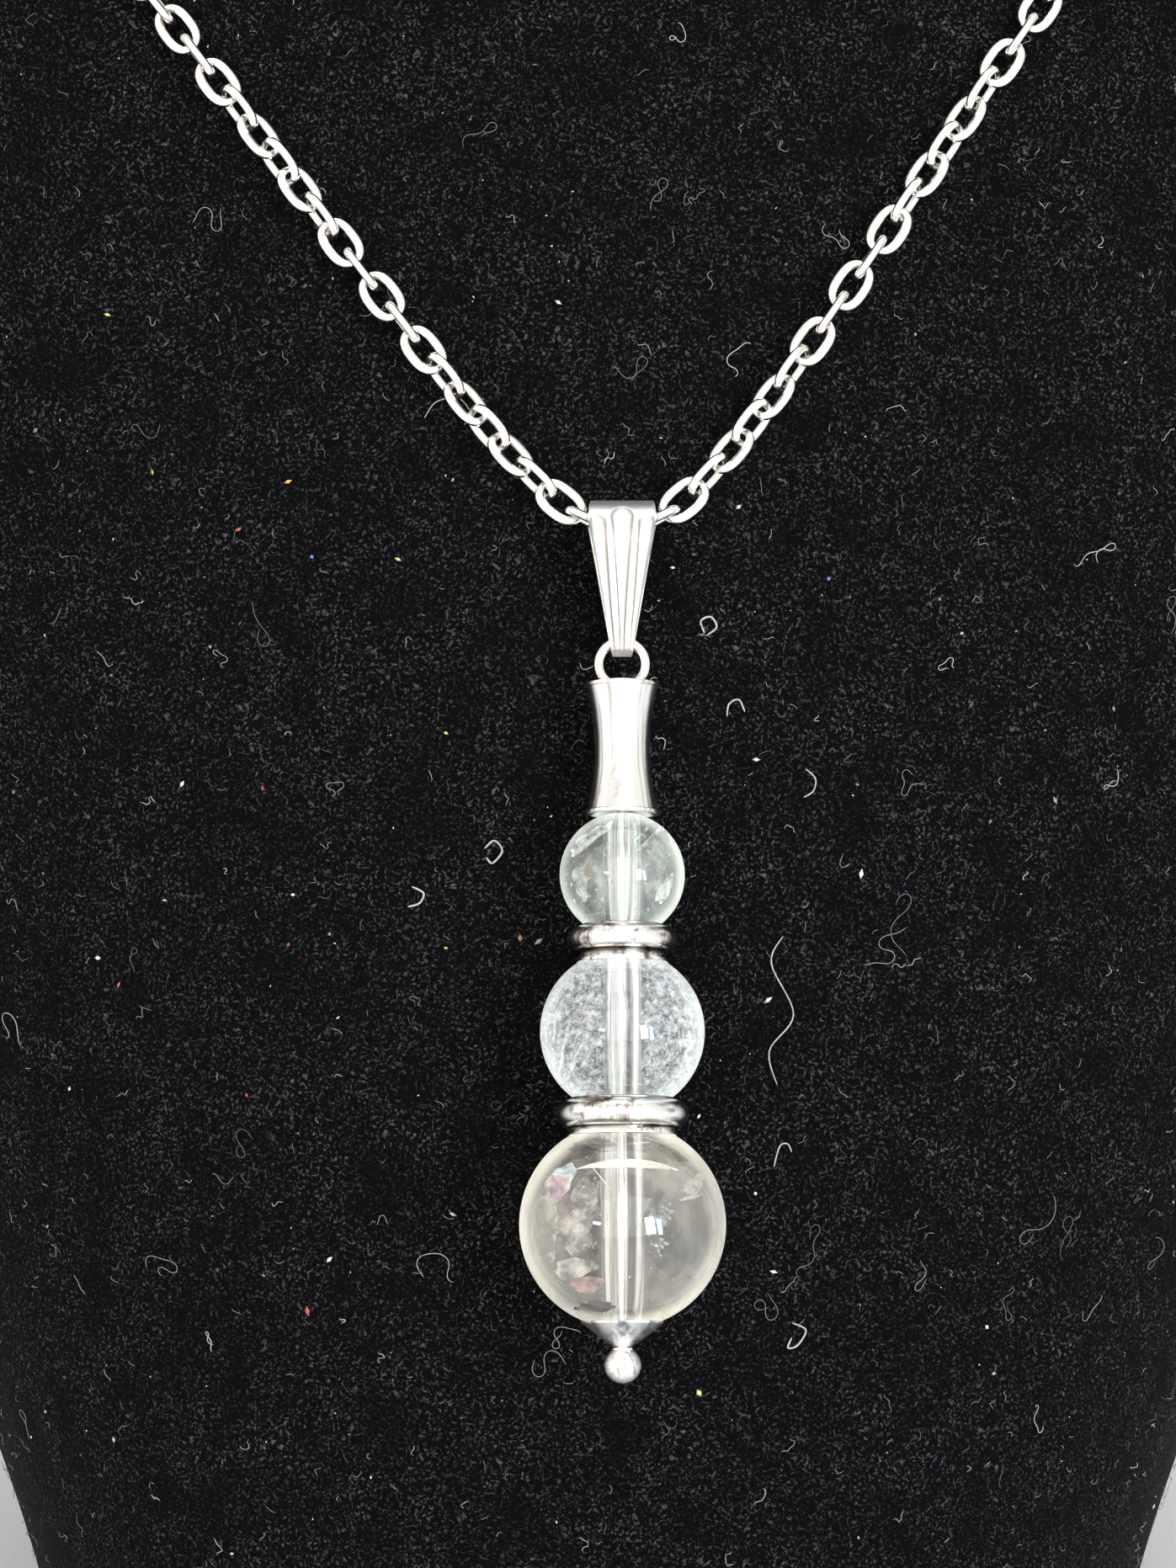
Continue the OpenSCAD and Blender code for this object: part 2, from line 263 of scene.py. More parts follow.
def new_group(name, inputs, outputs):
    """An empty shader node group: its tree, its inputs and its output node. An input whose value
    is a tuple is a colour, and so is the output named Color."""
    group = bpy.data.node_groups.new(name, "ShaderNodeTree")
    for socket, value in inputs.items():
        kind = "NodeSocketColor" if isinstance(value, tuple) else "NodeSocketFloat"
        made = group.interface.new_socket(socket, in_out="INPUT", socket_type=kind)
        made.default_value = value
    for socket in outputs:
        kind = "NodeSocketColor" if socket == "Color" else "NodeSocketFloat"
        group.interface.new_socket(socket, in_out="OUTPUT", socket_type=kind)
    return group, group.nodes.new("NodeGroupInput").outputs, group.nodes.new("NodeGroupOutput")


def ranged(tree, value, low, high, start=0.0, end=1.0):
    """A value from low to high, carried to start to end and held there outside them."""
    return add(tree, "MapRange", "Result", Value=value, in1=low, in2=high, in3=start, in4=end)


def combine(tree, operation, one, two):
    """Two values put together."""
    return add(tree, "Math", "Value", {"operation": operation}, in0=one, in1=two)


def bumped(tree, height, strength, distance):
    """The normal of a surface raised by a height."""
    return add(tree, "Bump", "Normal", Height=height, Strength=strength, Distance=distance)


# Short pile: the ends of the fibres catch the light as fine grains and a few short strokes, and
# the pile lies in patches that are brushed one way or another
pile, pile_in, pile_out = new_group(
    "pile", {"Grain": 6000.0, "Dark": (0, 0, 0, 1), "Light": (0.1, 0.1, 0.1, 1)},
    ["Color", "Height"],
)
coords = own_places(pile)
bend = add(pile, "TexNoise", "Color", Vector=coords, Scale=1500.0, Detail=1.0)
swirl = add(pile, "VectorMath", "Vector", {"operation": "SCALE"}, in0=bend, Scale=0.0006)
curled = add(pile, "VectorMath", "Vector", {"operation": "ADD"}, in0=coords, in1=swirl)
grain = noise(pile, curled, pile_in["Grain"], 2.0)
sharp = combine(pile, "POWER", ranged(pile, grain, 0.52, 0.84), 1.5)
lying = ranged(pile, noise(pile, coords, 420.0, 4.0), 0.32, 0.68, 0.25, 1.5)
lit = combine(pile, "MULTIPLY", sharp, lying)
feed(pile, pile_out, Color=mixed(pile, lit, pile_in["Dark"], pile_in["Light"]), Height=grain)

velvet, tree, shader = new_material("black_velvet")
piled = add(tree, "Group", "Color", {"node_tree": pile}, Grain=6500.0,
            Dark=(0.001, 0.0009, 0.0013, 1), Light=(0.098, 0.094, 0.098, 1))
feed(tree, shader, Base_Color=piled,
     Normal=bumped(tree, piled.node.outputs["Height"], 0.5, 0.0002), Roughness=0.95,
     Specular_IOR_Level=0.06, Sheen_Weight=0.02, Sheen_Roughness=0.35,
     Sheen_Tint=(0.75, 0.72, 0.7, 1))

around, risers, dome_steps = 240, 200, 18
turned_in = 0.985
angles = np.arange(around) * 360 / around
levels = np.linspace(0, bust_h, risers)
rings = [skin(angles[None, :], levels[:, None])]
top = skin(angles, np.full(around, float(bust_h)))
middle = (skin(0.0, float(bust_h)) + skin(180.0, float(bust_h))) / 2
for rise in np.radians(np.linspace(0, 90, dome_steps + 1)[1:]):
    rings.append((middle + (top - middle) * np.cos(rise) + [0, 0, dome_h * np.sin(rise)])[None])
foot = skin(angles, np.zeros(around))
inner = foot * [1, 1, 0] * turned_in + np.array([0, 0.05, 0])
rings = [np.tile(foot.mean(0), (1, around, 1)), inner[None]] + rings
rings[2][0, :, 2] = 0
bust_points = np.concatenate(rings)
make_piece("velvet_bust", bust_points, grid(len(bust_points), around), "stand", ["bust"],
           "velvet", [velvet])

# Lint
# Stray fibres and dust that the pile has caught all over: pale curled threads, short broken
# ones, white flecks of fluff and a few coloured specks. They lie on the tips of the pile.
lint_paint, tree, shader = new_material("lint")
tone = add(tree, "Attribute", "Color", {"attribute_name": "tone"})
faded = ranged(tree, noise(tree, own_places(tree), 4000.0, 2.0), 0.3, 0.7, 0.6)
feed(tree, shader, Base_Color=mixed(tree, faded, (0.01, 0.01, 0.01), tone), Roughness=0.8,
     Sheen_Weight=0.2)


def on_skin(count, draw):
    """Angles and heights spread evenly over the velvet: four times as many are drawn, and each
    is kept as often as a degree round the skin is long there."""
    tries = count * 4
    angle = draw.uniform(-180, 180, tries)
    level = draw.uniform(3, bust_h - 1, tries)
    reach = np.linalg.norm(step_round(angle, level), axis=-1)
    kept = draw.uniform(0, reach.max(), tries) < reach
    return angle[kept][:count], level[kept][:count]


def lint_tones(count, draw, low, high):
    """Pale warm to cool greys, from dim to bright."""
    bright = draw.uniform(low, high, (count, 1)) ** 1.6
    warm = draw.uniform(-1, 1, (count, 1))
    grey = bright * (np.array([0.86, 0.84, 0.80]) + warm * np.array([0.08, 0.02, -0.08]))
    return np.concatenate([grey, np.ones((count, 1))], axis=1)


def joined(*shapes):
    """Several shapes of points and faces as one."""
    starts = np.cumsum([0] + [len(points) for points, faces in shapes[:-1]])
    return (np.concatenate([points for points, faces in shapes]),
            np.concatenate([faces + start for start, (points, faces) in zip(starts, shapes)]))


def circle(steps):
    """Angles round a circle at equal steps, in radians."""
    return np.arange(steps) * 2 * np.pi / steps


def copies(faces, count, points):
    """The faces of one shape for a count of copies, each with its own number of points."""
    return (faces[None] + (np.arange(count) * points)[:, None, None]).reshape(-1, faces.shape[1])


def lay(angle, level, lift, thick):
    """Three-sided tubes along lines on the skin, one line to a row, lifted off it. The width
    is thick times the root of 1 - (2u - 1)^8, so it runs to a point at both ends."""
    count, steps = angle.shape
    out = skin_normal(angle, level)
    line = skin(angle, level) + lift[..., None] * out
    side = unit(np.cross(np.gradient(line, axis=1), out))
    u = np.linspace(0, 1, steps)[None, :]
    taper = thick[:, None] * np.sqrt(np.clip(1 - (2 * u - 1) ** 8, 0, 1)) * 0.5
    a = circle(3)
    ring = (np.cos(a)[:, None] * side[:, :, None] + np.sin(a)[:, None] * out[:, :, None])
    points = line[:, :, None] + taper[:, :, None, None] * ring
    return points.reshape(-1, 3), copies(grid(steps, 3), count, steps * 3)


def through(places, steps=8):
    """Catmull-Rom curve through places across and up the front, as angles and heights."""
    p = np.array([places[0], *places, places[-1]], float)
    a, b, c, d = (p[k:len(p) - 3 + k, None] for k in range(4))
    t = np.arange(steps)[None, :, None] / steps
    curve = flow(a, b, c, d, t)
    x, level = np.concatenate([curve.reshape(-1, 2), p[-1:]]).T
    return np.degrees(np.arcsin(x / measure(level, 0)))[None], level[None]


def threads(angle, level, length, thick, curl, steps, draw):
    """Threads that lie on the skin. The heading wanders as two sine waves of the distance
    along, and the lift above the pile as another; the thread thins to a point at each end."""
    count = len(angle)
    u = np.linspace(0, 1, steps)[None, :]
    phase = draw.uniform(0, 2 * np.pi, (4, count, 1))
    heading = (
        phase[0] + curl * np.sin(2 * np.pi * u * draw.uniform(0.5, 1.1, (count, 1)) + phase[1])
        + 0.5 * curl * np.sin(2 * np.pi * u * draw.uniform(1.2, 2.6, (count, 1)) + phase[2])
    )
    step = length[:, None] / (steps - 1)
    across = np.cumsum(np.cos(heading) * step, axis=1)
    up = np.cumsum(np.sin(heading) * step, axis=1)
    mm_round = np.linalg.norm(step_round(angle, level), axis=-1)
    mm_up = np.linalg.norm(step_up(angle, level), axis=-1)
    angle = angle[:, None] + across / mm_round[:, None]
    level = np.clip(level[:, None] + up / mm_up[:, None], 1, bust_h - 0.5)
    lift = 0.07 + 0.08 * (1 + np.sin(2 * np.pi * u * 1.3 + phase[3]))
    return lay(angle, level, lift, thick)


draw = np.random.default_rng(41)
# Columns: name, count, shortest and longest, thinnest and thickest, curl, steps, tones
for name, count, lengths, widths, curl, steps, low, high in (
    ("lint_fine", 6500, (0.2, 0.9), (0.02, 0.045), 0.9, 5, 0.1, 0.6),
    ("lint_short", 1500, (0.5, 1.5), (0.03, 0.055), 1.2, 8, 0.2, 0.75),
    ("lint_long", 480, (1.4, 5.0), (0.03, 0.05), 1.9, 26, 0.2, 0.8),
):
    angle, level = on_skin(count, draw)
    points, faces = threads(angle, level, draw.uniform(*lengths, count),
                            draw.uniform(*widths, count), curl, steps, draw)
    tones = np.repeat(lint_tones(count, draw, low, high), steps * 3, axis=0)
    make_piece(name, points, faces, "stand", [], "velvet", [lint_paint], tones=tones)

# Larger curls on the front. Columns: thickness, places across and up
curls = []
for thick, places in (
    (0.09, [(9.6, 44.1), (9.0, 42.8), (10.1, 40.3), (8.9, 38.6), (9.3, 36.9)]),
    (0.07, [(-8.2, 69.0), (-7.6, 69.8), (-6.5, 70.0), (-5.9, 69.3), (-6.2, 68.7)]),
    (0.13, [(5.7, 58.7), (5.5, 59.3), (6.0, 59.5), (6.3, 59.0), (5.8, 58.6)]),
    (0.11, [(6.8, 54.7), (6.9, 55.3), (7.4, 55.5), (7.7, 54.9)]),
    (0.13, [(-5.2, 48.4), (-4.7, 48.8), (-4.3, 48.3), (-4.8, 47.7), (-5.1, 48.0)]),
    (0.13, [(-8.8, 46.5), (-8.2, 46.2), (-8.4, 45.7), (-9.0, 45.5)]),
    (0.09, [(10.7, 52.1), (11.2, 51.6), (11.1, 51.0), (10.6, 50.7)]),
    (0.09, [(9.1, 33.0), (9.4, 34.0), (9.8, 34.1), (10.0, 33.7)]),
    (0.11, [(10.0, 25.5), (10.7, 25.1), (10.3, 24.4), (9.8, 24.3), (10.0, 24.8)]),
):
    angle, level = through(places)
    curls.append(lay(angle, level, 0.12 + 0 * angle, np.array([thick])))
points, faces = joined(*curls)
make_piece("lint_curls", points, faces, "stand", [], "velvet", [lint_paint],
           tones=np.tile([0.5, 0.49, 0.45, 1], (len(points), 1)))

# Flecks of fluff: squashed eight-sided grains, mostly white, a few in thread colours, and some
# larger ones on the front. Columns: places across and up, size, colour
fluff, mustard = (1, 1, 1), (0.8, 0.65, 0.15)
large_flecks = (
    (13.5, 46.9, 0.2, fluff), (-24.8, 41.8, 0.2, fluff), (8.2, 31.8, 0.16, fluff),
    (9.1, 28.0, 0.15, fluff), (5.4, 35.6, 0.13, fluff), (-15.0, 65.8, 0.16, (0.9, 0.5, 0.1)),
    (-17.5, 63.4, 0.15, (0.7, 0.08, 0.06)), (-13.8, 62.2, 0.16, (0.1, 0.25, 0.8)),
    (-9.5, 62.2, 0.14, (0.5, 0.8, 0.2)), (-7.1, 53.9, 0.13, mustard), (-24.2, 73.6, 0.15, mustard),
    (5.4, 22.4, 0.24, (0.85, 0.75, 0.2)), (-7.1, 43.6, 0.12, mustard),
    (-14.0, 25.7, 0.2, (0.55, 0.07, 0.06)), (-23.7, 40.6, 0.13, (0.45, 0.15, 0.08)),
)


def grains(middle, one, two, three):
    """Eight-sided grains: two tips along each of three directions from the middle."""
    ends = [middle + one, middle + two, middle - one, middle - two, middle + three, middle - three]
    return np.stack(ends, axis=1)


fleck_count = 1900
angle, level = on_skin(fleck_count, draw)
seen = np.array([fleck[:3] for fleck in large_flecks])
level[:len(seen)] = seen[:, 1]
angle[:len(seen)] = np.degrees(np.arcsin(seen[:, 0] / measure(seen[:, 1], 0)))
out = skin_normal(angle, level)
side = unit(np.cross([0.0, 0.0, 1.0], out))
turn = draw.uniform(0, np.pi, (fleck_count, 1))
one = side * np.cos(turn) + np.cross(out, side) * np.sin(turn)
two = np.cross(out, one)
size = 0.035 + 0.09 * draw.random((fleck_count, 1)) ** 5
size[:len(seen), 0] = 0.6 * seen[:, 2]
long = size * draw.uniform(1, 2.6, (fleck_count, 1))
middle = skin(angle, level) + 0.1 * out
fleck_points = grains(middle, long * one, size * two, 0.7 * size * out)
grain_faces = np.array([(k, (k + 1) % 4, 4) for k in range(4)]
                       + [((k + 1) % 4, k, 5) for k in range(4)])
tones = lint_tones(fleck_count, draw, 0.3, 1.0)
thread_colours = np.array([(0.7, 0.55, 0.1), (0.5, 0.06, 0.05), (0.08, 0.2, 0.6),
                           (0.35, 0.6, 0.15), (0.45, 0.2, 0.08)])
coloured = draw.random(fleck_count) < 0.1
tones[coloured, :3] = thread_colours[draw.integers(0, 5, coloured.sum())]
tones[:len(seen), :3] = [fleck[3] for fleck in large_flecks]
make_piece("lint_flecks", fleck_points, copies(grain_faces, fleck_count, 6), "stand", [],
           "velvet", [lint_paint], tones=np.repeat(tones, 6, axis=0))

# Silver
# Every metal piece is base metal plated in a bright silver tone and polished. Handling has left
# fine hairlines and faint warm tarnish in patches, and these patches also serve as painted
# reflections of warm and dark surroundings.
wear, wear_in, wear_out = new_group(
    "wear_and_reflection",
    {"Scale": 900.0, "Polish": 0.08, "Dulled": 0.2, "Clean": 0.56,
     "Plating": (0.9, 0.9, 0.9, 1), "Tarnish": (0.6, 0.5, 0.4, 1)},
    ["Color", "Roughness", "Height"],
)
coords = own_places(wear)
drawn_out = add(wear, "Mapping", "Vector", Vector=coords, Scale=(1, 1, 0.45))
# Patches of faint tarnish that also stand in as painted reflections of warm and dark surroundings
patchy_noise = noise(wear, drawn_out, wear_in["Scale"], 5.0, Roughness=0.6)
patchy_share = ranged(wear, patchy_noise, wear_in["Clean"], combine(wear, "ADD", wear_in["Clean"], 0.14))
stretch = add(wear, "Mapping", "Vector", Vector=coords, Rotation=(0.5, 0.7, 0.3),
              Scale=(1, 14, 2.2))
hairline = noise(wear, stretch, 2600.0, 4.0, Roughness=0.7)
dulling = combine(wear, "MAXIMUM", ranged(wear, hairline, 0.5, 0.8), patchy_share)
feed(wear, wear_out, Height=hairline,
     Color=mixed(wear, patchy_share, wear_in["Plating"], wear_in["Tarnish"]),
     Roughness=ranged(wear, dulling, 0, 1, wear_in["Polish"], wear_in["Dulled"]))


def silver(name, scale, polish, dulled, tarnish, depth, clean=0.56):
    """Plated metal whose patches of tarnish and painted reflection, hairlines and dents come from
    the wear group. Its tone is painted shade and painted reflection: 0 on plain surfaces, near 1
    in recesses and under rims where shade falls, and where the metal mirrors dark surroundings."""
    material, tree, shader = new_material(name)
    painted_dark = add(tree, "Attribute", "Fac", {"attribute_name": "tone"})
    worn = add(tree, "Group", "Color", {"node_tree": wear}, Scale=scale, Polish=polish,
               Dulled=dulled, Clean=clean, Plating=(0.93, 0.915, 0.885, 1),
               Tarnish=(*tarnish, 1))
    height = worn.node.outputs["Height"]
    # Painted shade and painted reflection: the tone mixes in a near-black colour
    feed(tree, shader, Base_Color=mixed(tree, painted_dark, worn, (0.13, 0.11, 0.1)),
         Roughness=worn.node.outputs["Roughness"],
         Normal=bumped(tree, height, 0.25, depth * MM), Metallic=1)
    return material


# Values: how fine the patches are, roughness where polished and where dulled, the colour of the
# patches of tarnish and painted reflection, depth of the dents in millimetres, and the noise up
# to which the metal is clean
warm_stain_and_reflection = (0.42, 0.27, 0.2)
chain_silver = silver("chain_silver", 700.0, 0.16, 0.3, (0.7, 0.64, 0.58), 0.02)
bail_silver = silver("bail_silver", 420.0, 0.4, 0.48, (0.7, 0.62, 0.54), 0.015)
turned_silver = silver("turned_silver", 520.0, 0.05, 0.18, warm_stain_and_reflection, 0.012)
tube_silver = silver("tube_silver", 420.0, 0.16, 0.26, warm_stain_and_reflection, 0.02, 0.62)
ring_silver = silver("ring_silver", 1300.0, 0.1, 0.25, (0.16, 0.1, 0.07), 0.03, 0.5)
cast_silver = silver("cast_silver", 1500.0, 0.26, 0.36, (0.26, 0.28, 0.33), 0.06, 0.46)
granular_silver = silver("granular_silver", 3400.0, 0.25, 0.4, (0.34, 0.33, 0.32), 0.2, 0.52)


def grey_tones(shares):
    """A tone for each point from its share of darkness."""
    share = np.clip(np.asarray(shares, float), 0, 1).reshape(-1, 1)
    return np.concatenate([share, share, share, np.ones_like(share)], axis=1)


# Chain
# Cable chain: oval links of round wire, each soldered shut, every other one turned a quarter
# round. It comes down both sides of the neck, lies on the velvet in a V and runs through the bail.
wire = 0.44
link_len = 2.78
link_w = 1.85
links_a_side = 117
clasp_d = 5.1
clasp_wire = 0.7
clasp_gap = 0.1
pendant_x = 1.6
tunnel_level = 63
tunnel_out = 2
nap_gap = 0.25
# Columns: rise for each mm outwards, radius at the bottom of the V, how far out that bottom lies
left_arm = (1.32, 4, -pendant_x)
right_arm = (1.5, 4.3, pendant_x)
v_half_w = 49
v_widening = 0.3
link0_lift = 0.6
tunnel_lift = tunnel_out + nap_gap
rest_lift = link_w / 2 + 0.15
settle_angle = 11
neck_level = 150
nape_rise = 22
turn_from, turn_span = 26, 70
rise_from, rise_span = 40, 140
walk_steps = 720
twist_wave = 17.5
twist_waves = 3
twist_turn = 45
steps_round, steps_wire = 30, 8
oval_power = 2.5
side_flat = 0.22


def ease(t):
    """A smooth step from 0 to 1."""
    c = np.clip(t, 0, 1)
    return c * c * (3 - 2 * c)


def arm_start(arm):
    """The angle of the bottom of the V."""
    return np.degrees(np.arcsin(arm[2] / v_half_w))


def chain_level(angle, arm):
    """Height of the chain: a straight arm of the V whose bottom is rounded, eased over the
    shoulder into the rise to the nape."""
    spread = np.sin(np.radians(np.minimum(angle, 90)))
    out = v_half_w * spread - arm[2]
    reach = np.sqrt(out**2 + arm[1]**2) - arm[1]
    straight = (
        tunnel_level + link0_lift * np.cos(np.radians(lean))
        + arm[0] * reach / (1 - arm[0] * v_widening * spread)
    )
    share = ease((angle - turn_from) / turn_span)
    return straight * (1 - share) + share * (
        neck_level + nape_rise * ease((angle - rise_from) / rise_span)
    )


def route(angle, arm):
    """The chain's middle line: on the skin, lifted by half a link, and by more at the bail."""
    level = chain_level(angle, arm)
    held = np.exp(-(((angle - arm_start(arm)) / settle_angle) ** 2))
    lift = rest_lift + (tunnel_lift - rest_lift) * held
    return skin(angle, level) + lift[..., None] * skin_normal(angle, level)


def oval_link():
    """A wire ring round an oval, |x/a|^n + |y/b|^n = 1. Its long axis is the third coordinate
    and it lies flat in the second and third. The wire is a little flattened on its long sides."""
    t = circle(steps_round)
    half_w, half_len = (link_w - wire) / 2, (link_len - wire) / 2
    power = 2 / oval_power
    c, s = np.cos(t), np.sin(t)
    centre = np.stack([half_w * np.sign(c) * np.abs(c) ** power,
                       half_len * np.sign(s) * np.abs(s) ** power], -1)
    along = unit(np.roll(centre, -1, axis=0) - np.roll(centre, 1, axis=0))
    outward = np.stack([along[:, 1], -along[:, 0]], -1)
    flatter = wire / 2 * (1 + side_flat * outward[:, 0] ** 4)
    a = (np.arange(steps_wire) + 0.5) * 2 * np.pi / steps_wire
    flat = centre[:, None] + outward[:, None] * (flatter[:, None] * np.cos(a))[..., None]
    thick = np.broadcast_to((wire / 2 * np.sin(a))[None, :, None], (*flat.shape[:2], 1))
    return np.concatenate([thick, flat], -1)


def chain_half(name, arm, side, first, node):
    """Links set at equal steps along an arm's route, from the bail to the clasp."""
    angles = np.linspace(arm_start(arm), 180, walk_steps + 1)
    line = route(angles, arm)
    walked = np.concatenate([[0], np.cumsum(np.linalg.norm(np.diff(line, axis=0), axis=1))])
    hold = (clasp_d - clasp_wire) / 2 + (link_len - wire) / 2 - (wire + clasp_wire) / 2 - clasp_gap
    pitch = (walked[-1] - hold) / links_a_side
    k = np.arange(first, links_a_side + 1)
    s = k * pitch
    angle = np.interp(s, walked, angles)
    here = route(angle, arm)
    ahead = route(np.interp(s + pitch / 2, walked, angles), arm)
    behind = route(np.interp(s - pitch / 2, walked, angles), arm)
    if first == 0:
        behind[0] = (2 * here[0][0] - ahead[0][0], ahead[0][1], ahead[0][2])
    along = unit(ahead - behind)
    across = unit(np.cross(along, skin_normal(angle, chain_level(angle, arm))))
    outward = np.cross(across, along)
    wave = np.where(s < twist_waves * twist_wave,
                    twist_turn / 2 * (1 - np.cos(2 * np.pi * s / twist_wave)), 0)
    turn = np.radians(90 * (k % 2) + wave)[:, None]
    wide = across * np.cos(turn) + outward * np.sin(turn)
    thin = np.cross(wide, along)
    link = oval_link().reshape(-1, 3)
    axes = np.stack([thin, wide, along], axis=1)
    points = (here[:, None] + link @ axes) * [side, 1, 1]
    faces = copies(grid(steps_round, steps_wire, rows_meet=True), len(k), len(link))
    make_piece(name, points, faces, "stand", [node], "silver", [chain_silver])


chain_half("links_left", left_arm, -1, 1, "chain_left")
chain_half("links_right", right_arm, 1, 0, "chain_right")

# Clasp
# A spring ring at the nape: a bent tube with a thicker sleeve over a third of it, where the
# spring and its small lever sit.
ring_steps, ring_sides = 96, 16
sleeve_from, sleeve_to = 30, 150
sleeve_extra = 0.2
lever_at, lever_len = 90, 0.9
sideways = np.array([1.0, 0, 0])


def set_out(origin, axes, *reaches):
    """Points that lie those distances from an origin along each of three axes."""
    return sum((reach[..., None] * axis for reach, axis in zip(reaches, axes)), origin)


clasp_r = (clasp_d - clasp_wire) / 2
clasp_level = float(chain_level(np.array(180.0), right_arm))
clasp_out = skin_normal(180.0, clasp_level)
clasp_mid = skin(180.0, clasp_level) + rest_lift * clasp_out
clasp_up = unit(np.cross([1, 0, 0], clasp_out))
t = np.arange(ring_steps)[:, None] * 360 / ring_steps
a = circle(ring_sides)
sleeve = ease((t - sleeve_from) / 4) * ease((sleeve_to - t) / 4)
lever = np.exp(-(((t - lever_at) / 5) ** 2)) * lever_len
tube = clasp_wire / 2 + sleeve * sleeve_extra + lever * np.cos(a) ** 8 * (np.cos(a) > 0)
reach = clasp_r + tube * np.cos(a)
clasp_points = set_out(clasp_mid, (sideways, clasp_up, clasp_out), reach * np.cos(np.radians(t)),
                       reach * np.sin(np.radians(t)), tube * np.sin(a))
make_piece("spring_ring", clasp_points, grid(ring_steps, ring_sides, rows_meet=True), "stand",
           ["clasp"], "silver", [turned_silver])

# Bail
# A strip of sheet folded over the chain, its two leaves tapering to a narrow tip where they
# close round the headpin's loop. Three arched flutes are pressed into the front leaf.
pivots = {j["name"]: np.array(j["pos_m"]) / MM for j in frame["joints"]}
bail_h = 7.7
bail_top_w, bail_wide_w, bail_tip_w = 3.12, 3.4, 1
shoulder_drop = 0.9
sheet_t = 0.25
sheet_edge = 0.05
eye_out = 0.71
flute_depth = 0.12
# How dark the painted shade on the flutes' walls is
flute_painted_shade = 0.66
crown = 0.07
nub_out, nub_reach = 0.07, 0.12
# Columns: inner and outer wall as shares of the half width at the top, how much each share
# changes for every millimetre down, and the drop of the arch's top
flutes = [(-0.36, 0.36, 0.024, -0.024, 0.42), (-0.97, -0.45, 0, -0.022, 0.85),
          (0.45, 0.97, 0.022, 0, 0.85)]


def bail_relief(x, half_w, drop):
    """How far the front is pressed in: each flute is flat in the middle and steep at its wall,
    1 - r^4 with r the distance from its middle line over its half width, under a round arch."""
    depth = np.zeros(np.broadcast_shapes(x.shape, half_w.shape))
    for left, right, left_change, right_change, top in flutes:
        left_wall = (left + left_change * drop) * half_w
        right_wall = (right + right_change * drop) * half_w
        half = np.maximum((right_wall - left_wall) / 2, 0.02)
        above = np.maximum(0, top + half - drop)
        r = np.sqrt((x - (left_wall + right_wall) / 2) ** 2 + above**2) / half
        depth = np.maximum(depth, np.clip(1 - r**4, 0, 1))
    return flute_depth * depth * ease((bail_h - drop) / 0.9)


bail_up = unit(pivots["bail_swing"] - pivots["drop_swing"])
bail_in = np.cross(bail_up, [1, 0, 0])
eye_drop = np.linalg.norm(pivots["bail_swing"] - pivots["drop_swing"])
slope = np.arcsin((tunnel_out - eye_out) / eye_drop)
front_steps, eye_steps, back_steps, tunnel_steps = 96, 28, 30, 120
outer_steps, inner_steps = 73, 13
ring_mid, eye_mid = tunnel_out - sheet_t / 2, eye_out - sheet_t / 2
fall = np.linspace(0, 1, front_steps, endpoint=False)
climb = np.linspace(0, 1, back_steps, endpoint=False)
facing = np.concatenate([
    np.full(front_steps, np.pi + slope),
    np.linspace(np.pi + slope, 2 * np.pi - slope, eye_steps, endpoint=False),
    np.full(back_steps, -slope),
    np.linspace(-slope, np.pi + slope, tunnel_steps, endpoint=False),
])
radius = np.concatenate([
    ring_mid + (eye_mid - ring_mid) * fall, np.full(eye_steps, eye_mid),
    eye_mid + (ring_mid - eye_mid) * climb, np.full(tunnel_steps, ring_mid),
])
sunk = np.concatenate([
    eye_drop * fall, np.full(eye_steps, eye_drop),
    eye_drop * (1 - climb), np.zeros(tunnel_steps),
])
is_front = (np.cos(facing) < 0)[:, None]
mid_y, mid_z = radius * np.cos(facing), radius * np.sin(facing) - sunk
outer_z = mid_z + sheet_t / 2 * np.sin(facing)
drop = (tunnel_out - outer_z)[:, None]
nub = nub_out * np.exp(-(((drop - shoulder_drop) / nub_reach) ** 2))
half_w = nub + np.interp(drop, [0, shoulder_drop, bail_h],
                         [bail_top_w / 2, bail_wide_w / 2, bail_tip_w / 2])
half_t, e = sheet_t / 2, sheet_edge
outer_share, inner_share = np.linspace(-1, 1, outer_steps), np.linspace(1, -1, inner_steps)
x = np.concatenate([
    (half_w - e) * outer_share, half_w, half_w, (half_w - e) * inner_share, -half_w, -half_w,
], axis=1)
level = np.concatenate([
    np.full(outer_steps, half_t), [half_t - e, e - half_t], np.full(inner_steps, -half_t),
    [e - half_t, half_t - e],
])[None, :]
is_outer = np.concatenate([np.ones(outer_steps), np.zeros(inner_steps + 4)])[None, :] * is_front
press = bail_relief(x, half_w, drop) * is_outer
# Painted shade: the flutes' steep walls and arches are drawn darker
steep = np.hypot(np.gradient(press, axis=1) / np.maximum(np.abs(np.gradient(x, axis=1)), 1e-3),
                 np.gradient(press, axis=0) / np.abs(np.gradient(drop, axis=0) + 1e-3))
bail_painted_shade = grey_tones(flute_painted_shade * np.clip(steep * is_outer / 0.7, 0, 1))
bow = crown * (x / half_w) ** 2 * is_front * ease(drop / 1.5) * ease((bail_h - drop) / 1.5)
offset = level - press - bow
bail_points = set_out(pivots["bail_swing"], (sideways, bail_in, bail_up), x,
                      mid_y[:, None] + offset * np.cos(facing)[:, None],
                      mid_z[:, None] + offset * np.sin(facing)[:, None])
make_piece("fluted_bail", bail_points, grid(*x.shape, rows_meet=True), "bail", ["bail"],
           "silver", [bail_silver], crease=50, tones=bail_painted_shade)

